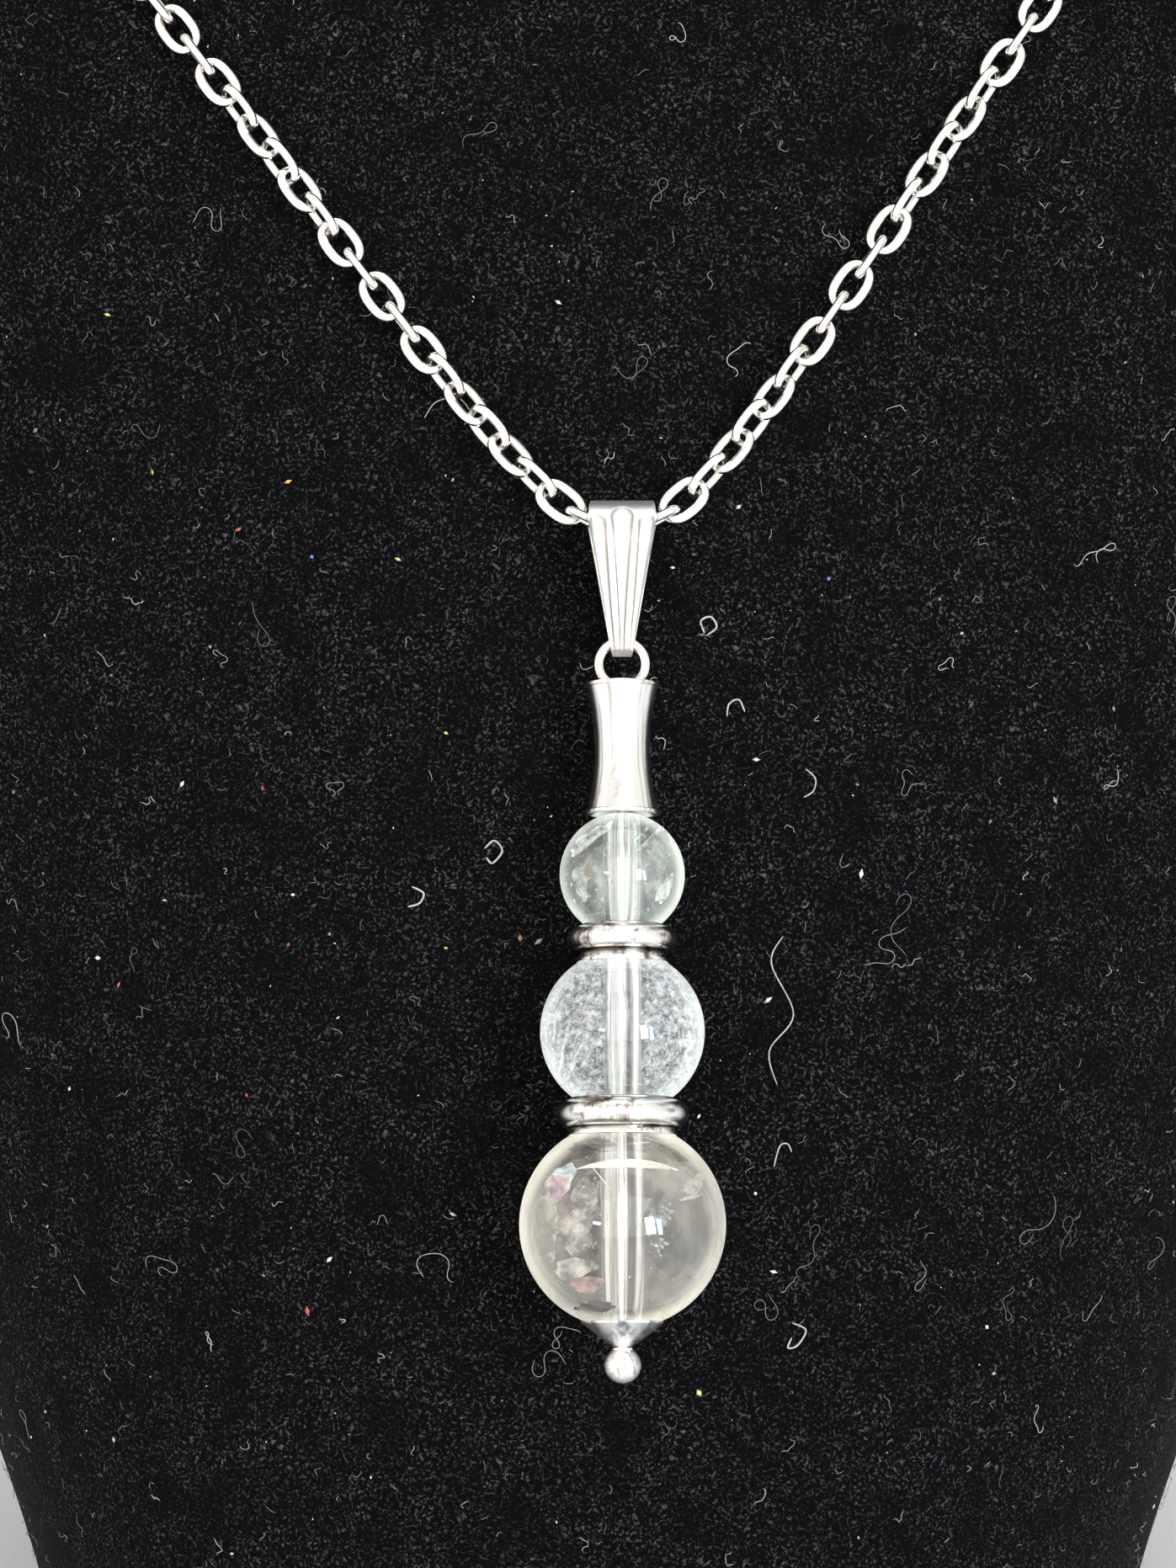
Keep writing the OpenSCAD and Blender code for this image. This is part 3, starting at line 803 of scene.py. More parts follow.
# Headpin
# A straight wire with a cast ball and a short collar at its lower end, and its upper end turned
# into a loop that hangs in the eye of the bail.
large_r, middle_r, small_r = 5, 4, 3.05
lower_web, upper_web = 0.34, 0.62
pin_d = 0.56
gap = 0.04
loop_d, loop_wire = 2.8, 0.52
loop_steps, loop_sides = 120, 20
ball_d = 1.78
ball_sink = 0.18
collar_d, collar_h = 1.06, 0.17
cap_h = 0.88
tube_len = 6.5
bead_in_tube = 0.1
loop_in_tube = 0.45
middle_z = large_r + lower_web + middle_r
small_z = middle_z + middle_r + upper_web + small_r
tube_z = small_z + small_r - bead_in_tube
loop_z = tube_z + tube_len - loop_in_tube + loop_d / 2
loop_r = (loop_d - loop_wire) / 2
cap_bottom = -large_r - cap_h
ball_z = cap_bottom - collar_h - ball_d / 2 + ball_sink
low, high = (np.array(corner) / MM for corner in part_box("bead_large"))
pin_foot = (low + high) / 2
pin_up = unit(pivots["drop_swing"] - pin_foot)
pin_in = np.cross(pin_up, [1, 0, 0])


def on_pin(points):
    """Points given beside and along the pin, from the large bead's middle, set in the frame."""
    return set_out(pin_foot, (sideways, pin_in, pin_up), *np.moveaxis(points, -1, 0))


def turned(profile, around=128):
    """A closed profile of radii and heights turned about the pin: x = r cos a, y = r sin a."""
    a = circle(around)
    r, h = profile[:, 0, None], profile[:, 1, None]
    points = np.stack([r * np.cos(a), r * np.sin(a), h + 0 * a], axis=-1)
    return on_pin(points).reshape(-1, 3), grid(len(profile), around, rows_meet=True)


def rounded(corners, steps=6):
    """A closed outline of corners (radius, height, rounding): each corner is cut back by its
    rounding on both sides and bridged by a quadratic curve."""
    c = np.array(corners, float)
    p, cut = c[:, :2], c[:, 2:]
    before = p + cut * unit(np.roll(p, 1, axis=0) - p)
    after = p + cut * unit(np.roll(p, -1, axis=0) - p)
    t = np.linspace(0, 1, steps)[:, None, None]
    curve = ((1 - t) ** 2 * before + 2 * t * (1 - t) * p + t**2 * after).transpose(1, 0, 2)
    curve = curve.reshape(-1, 2)
    apart = np.linalg.norm(curve - np.roll(curve, 1, axis=0), axis=1) > 1e-6
    return curve[apart]


def face_centres(piece):
    """The middle of every face in millimetres."""
    centres = np.zeros(len(piece.data.polygons) * 3)
    piece.data.polygons.foreach_get("center", centres)
    return centres.reshape(-1, 3) / MM


def paint_faces(piece, chosen):
    """The second material on the chosen faces."""
    piece.data.polygons.foreach_set("material_index", chosen.astype(np.int32))


ball_turn = np.linspace(0, np.pi, 41)
ball = turned(np.stack([ball_d / 2 * np.sin(ball_turn),
                        ball_z - ball_d / 2 * np.cos(ball_turn)], -1), 64)
stem = turned(rounded([
    (0, ball_z, 0), (pin_d / 2, ball_z, 0), (pin_d / 2, loop_z - loop_r, 0),
    (0, loop_z - loop_r, 0),
]), 48)
collar = turned(rounded([
    (0.2, cap_bottom - collar_h, 0), (collar_d / 2, cap_bottom - collar_h, 0.05),
    (collar_d / 2, cap_bottom - gap, 0.04), (0.2, cap_bottom - gap, 0),
]), 64)
t = circle(loop_steps)[:, None]
a = circle(loop_sides)[None, :]
across = loop_r + loop_wire / 2 * np.cos(a)
loop = np.stack([across * np.cos(t), loop_wire / 2 * np.sin(a) + 0 * t,
                 loop_z + across * np.sin(t)], -1)
loop = on_pin(loop).reshape(-1, 3), grid(loop_steps, loop_sides, rows_meet=True)[:, ::-1]
headpin_points, headpin_faces = joined(ball, stem, collar, loop)
headpin = make_piece("pin_and_loop", headpin_points, headpin_faces, "drop", ["headpin"], "silver",
                     [turned_silver, granular_silver], crease=60)
off_ball = np.linalg.norm(face_centres(headpin) - on_pin(np.array([0, 0, ball_z])), axis=1)
paint_faces(headpin, off_ball < ball_d / 2 + 0.02)

# Tube bead
# A turned hollow spacer between the loop and the small bead: two thin flared lips and a long
# hollow waist, open at both ends.
tube_lip_r, tube_waist_r = 1.85, 1.35
tube_lip = 0.22
lip_step = 0.1
flare, throat = 1.5, 0.3
half = tube_len / 2
fine = 256
bore_r = pin_d / 2 + gap
dip = tube_lip_r - lip_step - tube_waist_r
sweep_z = np.linspace(half - tube_lip, tube_lip - half, 61)
sweep_r = tube_waist_r + dip * (sweep_z / (half - tube_lip)) ** 2
upper_lip = [(throat + bore_r, half - flare, 0.05), (tube_lip_r - tube_lip, half, 0.05),
             (tube_lip_r, half, 0.07), (tube_lip_r, half - tube_lip, 0.07)]
tube_profile = rounded(
    upper_lip + [(r, z, 0) for r, z in zip(sweep_r, sweep_z)]
    + [(r, -z, rounding) for r, z, rounding in upper_lip[::-1]]
    + [(bore_r, flare - half, 0), (bore_r, half - flare, 0)]
)
tube_profile[:, 1] += tube_z + half
points, faces = turned(tube_profile, fine)

# Painted reflections: faint dark upright streaks where the tube would mirror the dark velvet.
# Columns: angle in degrees round it, 270 being the front, how far they reach sideways, darkness
t = np.arange(fine)[None, :] * 360 / fine
h = tube_profile[:, 1, None] - tube_z - half
painted_reflections = np.zeros((len(tube_profile), fine))
for at, reach, dark in ((222, 2.5, 0.5), (233, 1.4, 0.3), (246, 2.0, 0.35), (305, 1.6, 0.4),
                        (317, 3.0, 0.5), (328, 1.3, 0.3), (20, 3.0, 0.4), (75, 2.0, 0.5),
                        (110, 3.0, 0.3), (160, 2.0, 0.5)):
    off = t - at - 2.5 * np.sin(0.7 * h + at) - np.sin(2.3 * h + 2 * at)
    painted_reflections = np.maximum(painted_reflections, dark * np.exp(-((off / reach) ** 2)) * ease(
        (np.sin(0.9 * h + at) + 1.2) / 0.8))
make_piece("flared_tube", points, faces, "drop", ["tube_bead"], "silver", [tube_silver],
           crease=60, tones=grey_tones(painted_reflections))

# Spacers
# Two cast pieces between the beads: a lip that sits on the bead below, a cup for the bead above,
# and a plump ring round the outside, close under the cup.
lip_t, cup_t = 0.2, 0.15
# Painted reflections: dark swirls on the ring where it would mirror dark surroundings. Columns:
# angle in degrees round the ring, 270 being the front, height in ring heights from its middle,
# reach in degrees, reach in ring heights, darkness
ring_painted_reflections = ((220, 0.05, 3, 0.16, 0.8), (227, -0.12, 6, 0.07, 0.6), (236, 0.22, 3, 0.05, 0.5),
              (268, -0.42, 9, 0.06, 0.8), (284, 0.1, 2, 0.1, 0.35), (307, 0.2, 8, 0.06, 0.7),
              (316, 0.02, 6, 0.08, 0.8), (323, -0.25, 7, 0.05, 0.5), (20, 0.1, 8, 0.08, 0.7),
              (70, -0.2, 5, 0.1, 0.6), (120, 0.2, 9, 0.06, 0.7), (165, 0, 4, 0.12, 0.6))


def ball_arc(centre, r, from_r, to_r, up, steps=16):
    """Stretch of a ball's outline between two radii from the pin, above or below its middle."""
    x = np.linspace(from_r, to_r, steps)
    return [(a, b, 0) for a, b in zip(x, centre + up * np.sqrt(r * r - x * x))]


def spacer(name, node, below_z, below_r, above_z, above_r, lip_r, cup_r, ring_r, ring_wire):
    """The outline runs up the outside over the lip, a sloping shoulder, the ring and the cup's
    thin edge, and back down through cup, bore and lip. Painted shade darkens the shoulder, the
    neck beside the ring and the cup's edge."""
    low = below_z + np.sqrt((below_r + gap) ** 2 - lip_r**2)
    high = above_z - np.sqrt((above_r + gap) ** 2 - cup_r**2)
    ring_z = high - cup_t - ring_wire / 2
    neck_r = cup_r - 0.05
    ring_mid = ring_r - ring_wire / 2
    turn = np.arccos(np.clip((neck_r - ring_mid) / (ring_wire / 2), -1, 1))
    bulge = [(ring_mid + ring_wire / 2 * np.cos(a), ring_z + ring_wire / 2 * np.sin(a), 0)
             for a in np.linspace(-turn, turn, 41)]
    outline = (
        ball_arc(below_z, below_r + gap, bore_r, lip_r - 0.03, 1)
        + [(lip_r, low + 0.04, 0.03), (lip_r, low + lip_t, 0.09)]
        + bulge
        + [(cup_r, high - cup_t + 0.02, 0.03), (cup_r, high - 0.03, 0.03)]
        + ball_arc(above_z, above_r + gap, cup_r - 0.03, bore_r, -1)
    )
    profile = rounded(outline)
    r, h = profile[:, 0], profile[:, 1]
    outside = (r > neck_r - 0.01) & (h > low + 0.1)
    # Painted shade: darker at the neck beside the ring, on the shoulder under it and on the cup's
    # edge above it
    recessed = 0.85 * np.clip((neck_r + 0.14 - r) / 0.14, 0, 1)
    shoulder = 0.6 * np.clip((lip_r - 0.08 - r) / 0.1, 0, 1) * (h < ring_z - 0.3 * ring_wire)
    on_edge = 0.7 * (h > high - cup_t - 0.01)
    dark = outside * np.maximum(np.maximum(recessed, shoulder), on_edge)
    dark = np.repeat(dark[:, None], fine, axis=1)
    t = np.arange(fine)[None, :] * 360 / fine
    for at, up, wide, tall, share in ring_painted_reflections:
        across, above = (t - at) / wide, ((h[:, None] - ring_z) / ring_wire - up) / tall
        bent = above - 0.5 * across**2 * np.sign(up + 0.01)
        dark = np.maximum(dark, outside[:, None] * share * np.exp(-(across**2) - bent**2))
    make_piece(name, *turned(profile, fine), "drop", [node], "silver", [ring_silver], crease=50,
               tones=grey_tones(dark))


# Columns: piece, node, height and radius of the bead below and of the bead above, then the radii
# of lip, cup and ring, and the thickness of the ring
for row in (
    ("ringed_spacer_lower", "spacer_lower", 0, large_r, middle_z, middle_r, 2.65, 2.5, 3.25, 1.3),
    ("ringed_spacer_upper", "spacer_upper", middle_z, middle_r, small_z, small_r, 2.25, 1.95,
     2.7, 1.15),
):
    spacer(*row)

# Bead cap
# A small turned cup between the headpin's collar and the large bead, its rim against the bead.
cap_rim_r, cap_foot_r = 1.98, 0.55
cap_rim_z = -np.sqrt((large_r + gap) ** 2 - cap_rim_r**2)
cap_outline = (
    [(bore_r, cap_bottom, 0), (cap_foot_r - 0.1, cap_bottom, 0.04),
     (cap_foot_r, cap_bottom + 0.1, 0.06), (cap_foot_r + 0.35, cap_bottom + 0.3, 0.15),
     (cap_rim_r, cap_rim_z - 0.1, 0.06), (cap_rim_r, cap_rim_z, 0.03)]
    + ball_arc(0, large_r + gap, cap_rim_r - 0.05, bore_r, -1)
)
make_piece("turned_cap", *turned(rounded(cap_outline)), "drop", ["bead_cap"], "silver",
           [cast_silver], crease=50)

# Crystal beads
# Three balls cut from natural rock crystal, polished outside and left grooved by the drill.
# Each holds veils of tiny fluid flecks, and bright flakes along healed cracks.
small_hole_r, large_hole_r = 0.6, 0.7
hole_edge = 0.06
quartz_ior = 1.544


def crystal(name, tint, clear, rim, rim_from):
    """Polished crystal: clear glass, with a painted pale rim glow where it is seen at a grazing
    angle, which stands in for the light of the whole room."""
    material, tree, shader = new_material(name)
    coords = own_places(tree)
    ripple = noise(tree, coords, 500.0, 2.0)
    pale = tuple(min(1.0, c * 1.06) for c in tint)
    at_rim = add(tree, "MapRange", "Result", {"interpolation_type": "SMOOTHSTEP"},
                 Value=add(tree, "LayerWeight", "Facing", Blend=0.5), in1=rim_from, in2=0.68)
    uneven = ranged(tree, noise(tree, coords, 220.0, 3.0), 0.3, 0.6, 0.45)
    # Painted rim glow: emission where the surface is seen at a grazing angle
    painted_rim_glow = combine(tree, "MULTIPLY", at_rim, uneven)
    feed(tree, shader, Base_Color=mixed(tree, ripple, tint, pale),
         Normal=bumped(tree, ripple, 0.1, 0.00004),
         Emission_Color=mixed(tree, painted_rim_glow, (0, 0, 0), rim), Emission_Strength=1,
         Roughness=0.02, IOR=quartz_ior, Transmission_Weight=clear, Sheen_Weight=0.9,
         Sheen_Roughness=0.16)
    return material


# Grooves along the hole: some are drawn dark, and others glow with painted highlights
drilled, tree, shader = new_material("drilled_crystal")
upright = add(tree, "Mapping", "Vector", {"vector_type": "TEXTURE"}, Vector=own_places(tree),
              Rotation=(-np.arcsin(pin_up[1]), 0, 0), Scale=(1, 1, 30))
grooves = noise(tree, upright, 2600.0, 3.0)
dark_grooves, bright = ranged(tree, grooves, 0.38, 0.5), ranged(tree, grooves, 0.5, 0.62)
feed(tree, shader, Base_Color=mixed(tree, dark_grooves, (0.16, 0.13, 0.11), (0.95, 0.96, 0.95)),
     Normal=bumped(tree, grooves, 0.5, 0.00004),
     Emission_Color=mixed(tree, bright, (0, 0, 0), (0.6, 0.6, 0.56)), Emission_Strength=0.7,
     Roughness=0.06, IOR=quartz_ior, Transmission_Weight=0.88)


def bead(name, node, z, r, hole_r, material):
    """A ball's outline from the hole's lower edge round to its upper edge, and back down the
    hole, turned about the pin. Faces on the hole's wall get the grooved material."""
    edge = np.arcsin((hole_r + hole_edge) / r)
    turn = np.linspace(edge, np.pi - edge, 90)
    lip_z = np.sqrt(r * r - (hole_r + hole_edge) ** 2) - hole_edge
    bore = np.linspace(lip_z, -lip_z, 24)
    profile = np.concatenate([
        np.stack([r * np.sin(turn), -r * np.cos(turn)], -1),
        np.stack([np.full(24, hole_r), bore], -1),
    ])
    profile[:, 1] += z
    points, faces = turned(profile, 144)
    piece = make_piece(name, points, faces, "drop", [node], "crystal", [material, drilled],
                       crease=40)
    beside = face_centres(piece) - pin_foot
    off_pin = np.linalg.norm(beside - (beside @ pin_up)[:, None] * pin_up, axis=1)
    paint_faces(piece, off_pin < hole_r + 0.02)


# Columns: piece and material, node, height, radius and radius of the hole, then the finish: tint,
# how clear it is, the colour of the painted rim glow, and the grazing share from which it shows
for name, node, z, r, hole_r, *finish in (
    ("crystal_small", "bead_small", small_z, small_r, small_hole_r,
     (0.90, 0.94, 0.92), 0.96, (0.52, 0.56, 0.5), 0.36),
    ("crystal_middle", "bead_middle", middle_z, middle_r, small_hole_r,
     (0.91, 0.94, 0.94), 0.95, (0.56, 0.6, 0.58), 0.25),
    ("crystal_large", "bead_large", 0, large_r, large_hole_r,
     (0.94, 0.93, 0.89), 0.96, (0.56, 0.54, 0.45), 0.42),
):
    bead(name, node, z, r, hole_r, crystal(name, *finish))

# Inclusions
# What the crystal holds: a thin milky cloud, flakes of fluid along healed cracks that flash or
# go dark as they turn, wispy veils and shadows, and one crack that shows rainbow colours.
haze_gap = 0.1
flake_paint, tree, shader = new_material("flakes")
tone = add(tree, "Attribute", "Color", {"attribute_name": "tone"})
uneven = noise(tree, own_places(tree), 9000.0, 2.0)
# The flakes glow faintly in their own tone: painted light
feed(tree, shader, Base_Color=mixed(tree, uneven, (0.7, 0.75, 0.75), tone), Emission_Color=tone,
     Emission_Strength=0.1, Metallic=0.7, Roughness=0.25)


def veil_material(name, colour, scale, thin, thick, glow=0.05, squash=(1, 1, 1), least=1.0):
    """A wisp: one colour, and see-through except where its noise is strong. Its cover falls to
    the least share over the upright plane that the hole lies in."""
    material, tree, shader = new_material(name)
    coords = own_places(tree)
    drawn_out = add(tree, "Mapping", "Vector", Vector=coords, Rotation=(0, 0.7, 0), Scale=squash)
    wisp = noise(tree, drawn_out, scale, 6.0, Roughness=0.62)
    across = add(tree, "SeparateXYZ", "X", Vector=coords)
    beside = add(tree, "Math", "Value", {"operation": "ABSOLUTE"},
                 in0=combine(tree, "SUBTRACT", across, pin_foot[0] * MM))
    kept = ranged(tree, beside, 0.00075, 0.00105, least)
    shade = mixed(tree, wisp, tuple(c * 0.8 for c in colour), colour)
    # The wisp glows faintly by its glow share: painted light inside the crystal
    feed(tree, shader, Base_Color=shade, Emission_Color=shade, Emission_Strength=glow,
         Alpha=combine(tree, "MULTIPLY", ranged(tree, wisp, thin, thick), kept), Roughness=0.6)
    return material


def cloud(name, z, r, hole_r, material):
    """A haze just inside a bead's surface: its ball a little smaller, and its hole wider."""
    inner_r = hole_r + haze_gap
    edge = np.arcsin(inner_r / r)
    turn = np.linspace(edge, np.pi - edge, 40)
    outer = np.stack([r * np.sin(turn), z - r * np.cos(turn)], -1)
    bore = z + np.linspace(1, -1, 12)[1:-1] * np.sqrt(r * r - inner_r**2)
    inner = np.stack([np.full(len(bore), inner_r), bore], -1)
    points, faces = turned(np.concatenate([outer, inner]), 96)
    make_piece(name, points, faces, "drop", [], "crystal", [material])


def flakes(name, r, z, hole_r, aside, clusters, draw):
    """Squashed eight-sided grains turned at random. Each cluster has a middle, how far it
    spreads sideways and upwards, a count, a size and a colour. Grains outside the ball are
    drawn in, grains in the hole are moved out beside it, and those before and behind it are
    set aside by a distance that falls to nothing further out."""
    spots, sizes, tones = [], [], []
    for (x, y, h), wide, tall, count, size, colour in clusters:
        spot = draw.normal(size=(count, 3)) * [wide, min(wide, tall), tall] * 0.6 + [x, y, h]
        off = np.linalg.norm(spot, axis=1, keepdims=True)
        spots.append(spot * np.minimum(1, 0.93 * r * draw.uniform(0.9, 1, (count, 1)) / off))
        sizes.append(size * (0.35 + draw.random((count, 1)) ** 2))
        tones.append(np.concatenate([draw.uniform(0.7, 1, (count, 1)) * np.array(colour),
                                     np.ones((count, 1))], axis=1))
    spot, s, tone = (np.concatenate(parts) for parts in (spots, sizes, tones))
    beside = np.linalg.norm(spot[:, :2], axis=1, keepdims=True)
    spot[:, :2] *= np.maximum(beside, hole_r + 0.15) / beside
    spot[:, 0] += np.sign(spot[:, 0]) * aside * np.exp(-np.abs(spot[:, 0]) / 0.8)
    one = unit(draw.normal(size=spot.shape))
    two = unit(np.cross(one, draw.normal(size=spot.shape)))
    three = np.cross(one, two)
    points = grains(spot, s * one, 0.6 * s * two, 0.12 * s * three) + [0, 0, z]
    make_piece(name, on_pin(points), copies(grain_faces, len(spot), 6), "drop", [], "crystal",
               [flake_paint], tones=np.repeat(tone, 6, axis=0))


veil_rings, veil_sides = 12, 48


def veils(name, z, sheets, material):
    """Wavy discs inside a bead. Each has a middle, a direction that it faces, a roll in
    degrees, a half length and half height, and how far it bends: the disc is lifted by bend
    times the square of the radius and by two sine waves."""
    shapes = []
    for (x, y, h), facing, roll, half_len, half_h, bend in sheets:
        n = unit(np.array(facing, float))
        level = unit(np.cross(n, [0, 0, 1]))
        rise = np.cross(n, level)
        one = level * np.cos(np.radians(roll)) + rise * np.sin(np.radians(roll))
        two = np.cross(n, one)
        rad = np.linspace(0, 1, veil_rings)[:, None]
        a = circle(veil_sides)[None, :]
        rim = 1 + 0.12 * np.sin(3 * a + x * 9) + 0.07 * np.sin(7 * a + y * 5)
        p, q = half_len * rad * rim * np.cos(a), half_h * rad * rim * np.sin(a)
        up = bend * rad**2 + 0.04 * np.sin(4 * p + x) * np.sin(3 * q + y) * rad
        points = set_out(np.array([x, y, z + h]), (one, two, n), p, q, up)
        shapes.append((on_pin(points).reshape(-1, 3), grid(veil_rings, veil_sides)))
    make_piece(name, *joined(*shapes), "drop", [], "crystal", [material])


draw = np.random.default_rng(7)
white, blue, gold, black = (1, 1, 1), (0.62, 0.78, 1), (1, 0.85, 0.45), (0.03, 0.03, 0.04)
cloud("cloud_small", small_z, 0.93 * small_r, small_hole_r,
      veil_material("cloud_small", (0.9, 0.96, 0.92), 650.0, 0.42, 0.9, 0.08, (1, 1, 0.5), 0.4))
cloud("cloud_middle", middle_z, 0.94 * middle_r, small_hole_r,
      veil_material("cloud_middle", (0.95, 1, 1), 2600.0, 0.44, 0.76, 0.12, least=0.2))
cloud("cloud_large", 0, 0.95 * large_r, large_hole_r,
      veil_material("cloud_large", (0.86, 0.83, 0.74), 330.0, 0.38, 0.95, squash=(1, 1, 0.6),
                    least=0.5))
flakes("flakes_small", small_r, small_z, small_hole_r, 0.3, [
    ((0, 0, 0), 1.6, 1.6, 320, 0.07, white), ((0.8, -2.3, 0.1), 0.3, 0.35, 34, 0.13, white),
    ((1.5, -1.9, 1.3), 0.5, 0.5, 60, 0.1, white), ((1.9, -1.6, -0.6), 0.4, 0.8, 50, 0.08, white),
    ((1.75, -2.0, 0.25), 0.15, 0.3, 16, 0.13, blue),
    ((2.1, -1.6, 0.8), 0.3, 0.12, 12, 0.13, white),
    ((0.95, -2.3, -0.6), 0.2, 0.15, 12, 0.12, gold),
    ((-0.9, -2.3, -0.4), 0.45, 0.12, 26, 0.1, gold),
    ((0.5, -1.9, -1.8), 0.3, 0.15, 16, 0.12, white),
    ((1.2, -1.7, -1.85), 0.12, 0.15, 8, 0.12, white),
    ((-1.8, -1.7, 0.1), 0.4, 0.9, 60, 0.07, white),
], draw)
flakes("flakes_middle", middle_r, middle_z, small_hole_r, 0.9, [
    ((0, 0, 0), 2.6, 2.6, 3600, 0.1, white), ((0, 0, 0), 2.4, 2.4, 2200, 0.1, black),
    ((1.2, -3.2, 0), 0.4, 0.45, 50, 0.15, blue),
    ((2.2, -2.6, -1.0), 0.4, 0.4, 40, 0.13, white), ((1.9, -2.2, 2.4), 0.6, 0.5, 60, 0.14, blue),
    ((2.5, -2.4, 1.5), 0.45, 0.12, 22, 0.16, gold),
    ((-1.4, -3.2, -1.0), 0.2, 0.15, 10, 0.13, white),
    ((-2.6, -2.4, -1.2), 0.7, 1.0, 120, 0.09, white),
], draw)
flakes("flakes_large", large_r, 0, large_hole_r, 0, [
    ((0, 0, 0), 2.8, 2.8, 240, 0.07, white), ((1.5, -4.1, -0.1), 0.45, 0.5, 46, 0.24, blue),
    ((1.75, -4.0, -1.1), 0.3, 0.35, 22, 0.18, white), ((2.05, -3.9, 0.3), 0.2, 0.4, 18, 0.2, blue),
    ((-1.7, -4.1, -1.1), 0.5, 0.12, 20, 0.16, white),
    ((-0.9, -4.3, -0.7), 0.1, 0.1, 6, 0.16, white),
    ((-3.0, -3.0, -0.4), 0.6, 0.9, 90, 0.08, white), ((-2.9, -3.1, 0.1), 0.1, 0.2, 5, 0.16, gold),
    ((1.0, -2.3, 4.0), 0.35, 0.15, 14, 0.14, white), ((-3.4, -2.6, 1.6), 0.5, 0.7, 40, 0.07, white),
    ((3.1, -2.6, 2.3), 0.4, 0.5, 40, 0.08, white),
], draw)
veils("veils_small", small_z, [
    ((-1.5, -1.8, 1.5), (-0.5, -0.8, 0.4), 38, 1.25, 0.42, 0.15),
    ((1.2, -2.0, 1.35), (0.4, -0.8, 0.4), 40, 1.0, 0.09, 0.1),
    ((1.5, -1.8, 1.75), (0.4, -0.8, 0.4), 40, 0.8, 0.08, 0.1),
    ((0.9, -2.2, 1.7), (0.3, -0.8, 0.4), 44, 0.6, 0.07, 0.1),
    ((-1.9, -1.8, -0.6), (-0.6, -0.8, 0), 100, 0.9, 0.4, 0.1),
    ((1.9, -1.7, -0.9), (0.6, -0.8, 0), 60, 0.8, 0.35, 0.1),
], veil_material("veil_small", (0.92, 1, 0.95), 1500.0, 0.36, 0.62))
veils("shadows_small", small_z, [
    ((1.4, -1.5, 1.4), (0.4, -0.8, 0.4), 40, 1.0, 0.6, 0.1),
    ((-1.3, -1.6, 0.7), (-0.4, -0.8, 0.2), 70, 0.8, 0.5, 0.1),
    ((1.7, -1.5, -0.2), (0.6, -0.8, 0), 80, 1.3, 0.6, 0.1),
], veil_material("shadow_small", (0.1, 0.1, 0.055), 700.0, 0.3, 0.6, glow=0))
veils("veils_middle", middle_z, [
    ((-3.1, -1.8, -0.4), (-0.8, -0.6, 0), 78, 1.5, 0.1, 0.1),
    ((-2.7, -2.4, -0.9), (-0.7, -0.7, 0), 70, 1.4, 0.09, 0.1),
    ((-2.2, -2.8, -1.5), (-0.6, -0.8, -0.2), 55, 1.0, 0.1, 0.1),
    ((2.9, -2.0, -0.6), (0.8, -0.6, 0), 105, 1.4, 0.3, 0.1),
], veil_material("veil_middle", (0.95, 1, 1), 2600.0, 0.4, 0.62))
veils("veils_large", 0, [
    ((-1.7, -3.2, 0.6), (-0.3, -0.9, 0.1), 70, 1.6, 0.8, 0.2),
    ((-1.9, -3.3, -1.0), (-0.4, -0.9, -0.2), 110, 1.1, 0.7, 0.2),
    ((-3.3, -2.8, -0.2), (-0.7, -0.7, 0.1), 95, 1.7, 0.6, 0.2),
    ((3.2, -2.8, 1.7), (0.7, -0.7, 0.3), 30, 1.0, 0.35, 0.2),
    ((3.0, -3.1, 1.1), (0.7, -0.7, 0.2), 12, 0.9, 0.1, 0.2),
    ((-2.2, -3.4, -2.1), (-0.4, -0.8, -0.4), 10, 1.2, 0.5, 0.2),
], veil_material("veil_large", (1, 0.98, 0.92), 1000.0, 0.4, 0.72))
# Painted light: thin lines that glow
veils("bright_lines_large", 0, [
    ((0.3, -3.75, 2.9), (0, -0.8, 0.6), 0, 2.35, 0.045, -0.9),
    ((-1.1, -3.9, 2.1), (0, -0.9, 0.4), 125, 0.9, 0.02, 0),
], veil_material("bright_line", (1, 0.98, 0.9), 900.0, 0.1, 0.4, glow=0.45))
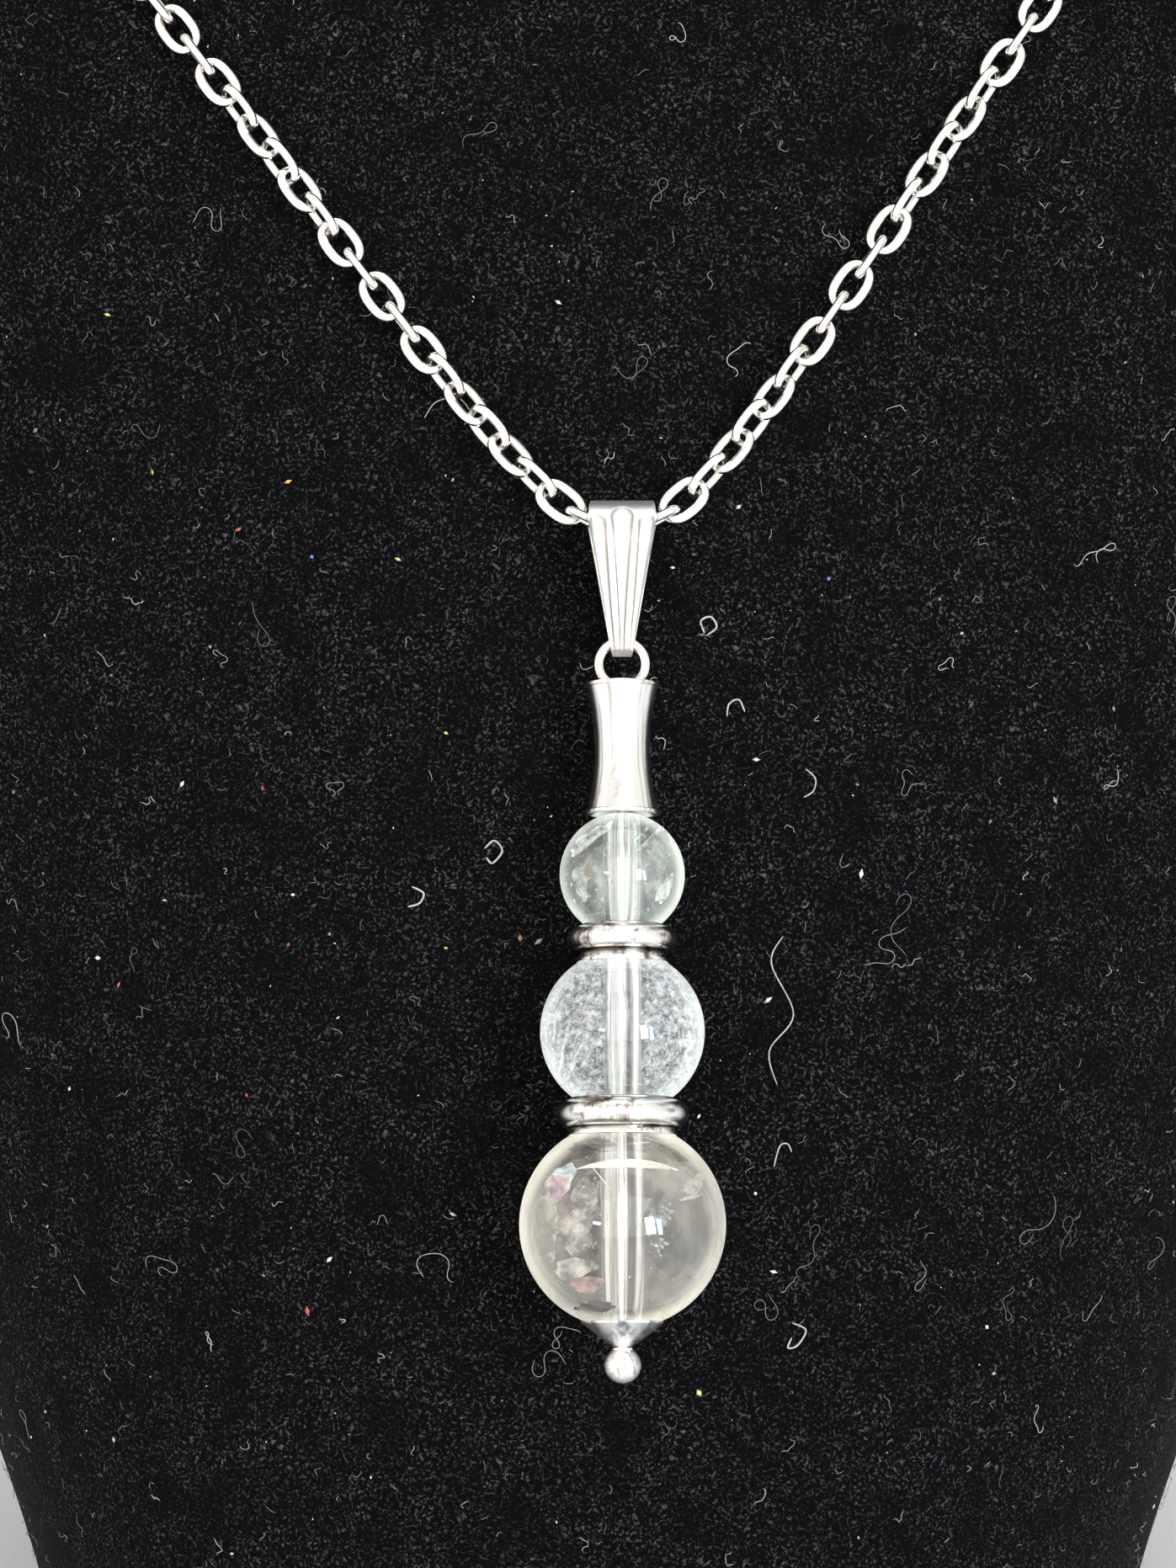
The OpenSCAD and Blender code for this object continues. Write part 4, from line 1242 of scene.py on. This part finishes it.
veils("shadows_large", 0, [
    ((1.65, -3.7, 1.25), (0.2, -0.9, 0.2), 57, 1.45, 0.2, 0),
    ((-1.5, -2.6, 3.6), (-0.2, -0.8, 0.6), 0, 1.1, 0.4, 0),
    ((-1.3, -2.3, -3.9), (-0.2, -0.8, -0.6), 10, 1.0, 0.35, 0),
], veil_material("shadow_large", (0.03, 0.03, 0.03), 300.0, 0.1, 0.5, glow=0))
veils("shade_large", 0, [
    ((2.6, -2.7, -0.3), (0.6, -0.8, 0), 90, 2.5, 1.3, 0.2),
], veil_material("shade_large", (0.03, 0.03, 0.02), 260.0, 0.25, 1.1, glow=0))
veils("brown_large", 0, [
    ((1.9, -2.8, 3.2), (0.3, -0.8, 0.5), -14, 1.1, 0.5, 0),
], veil_material("brown_veil", (0.16, 0.1, 0.07), 500.0, 0.2, 0.6, glow=0))
veils("pink_large", 0, [
    ((-1.7, -3.3, -2.9), (-0.3, -0.8, -0.4), 5, 0.9, 0.45, 0),
], veil_material("pink_veil", (0.75, 0.5, 0.48), 1500.0, 0.3, 0.7, glow=0))

rainbow, tree, shader = new_material("rainbow_crack")
coords = own_places(tree)
bands = noise(tree, coords, 800.0, 2.0, Distortion=0.6)
hues = add(tree, "ValToRGB", "Color", Fac=bands)
ramp = hues.node.color_ramp.elements
ramp[0].position, ramp[0].color = 0.3, (0.85, 0.8, 0.68, 1)
ramp[1].position, ramp[1].color = 0.72, (0.9, 0.88, 0.75, 1)
# Columns: place along the ramp, colour
for place, colour in ((0.4, (0.55, 0.3, 0.6)), (0.47, (0.75, 0.5, 0.5)), (0.54, (0.95, 0.95, 0.9)),
                      (0.59, (0.35, 0.6, 0.85)), (0.64, (0.6, 0.8, 0.75))):
    ramp.new(place).color = (*colour, 1)
cover = ranged(tree, noise(tree, coords, 1400.0, 3.0), 0.25, 0.6)
# The crack's colours glow faintly: painted light
feed(tree, shader, Base_Color=hues, Emission_Color=hues, Alpha=cover, Emission_Strength=0.12,
     Roughness=0.3)
veils("rainbow_crack", 0, [((-2.9, -3.1, 1.85), (-0.5, -0.8, 0.3), 60, 0.95, 0.75, 0.1)], rainbow)
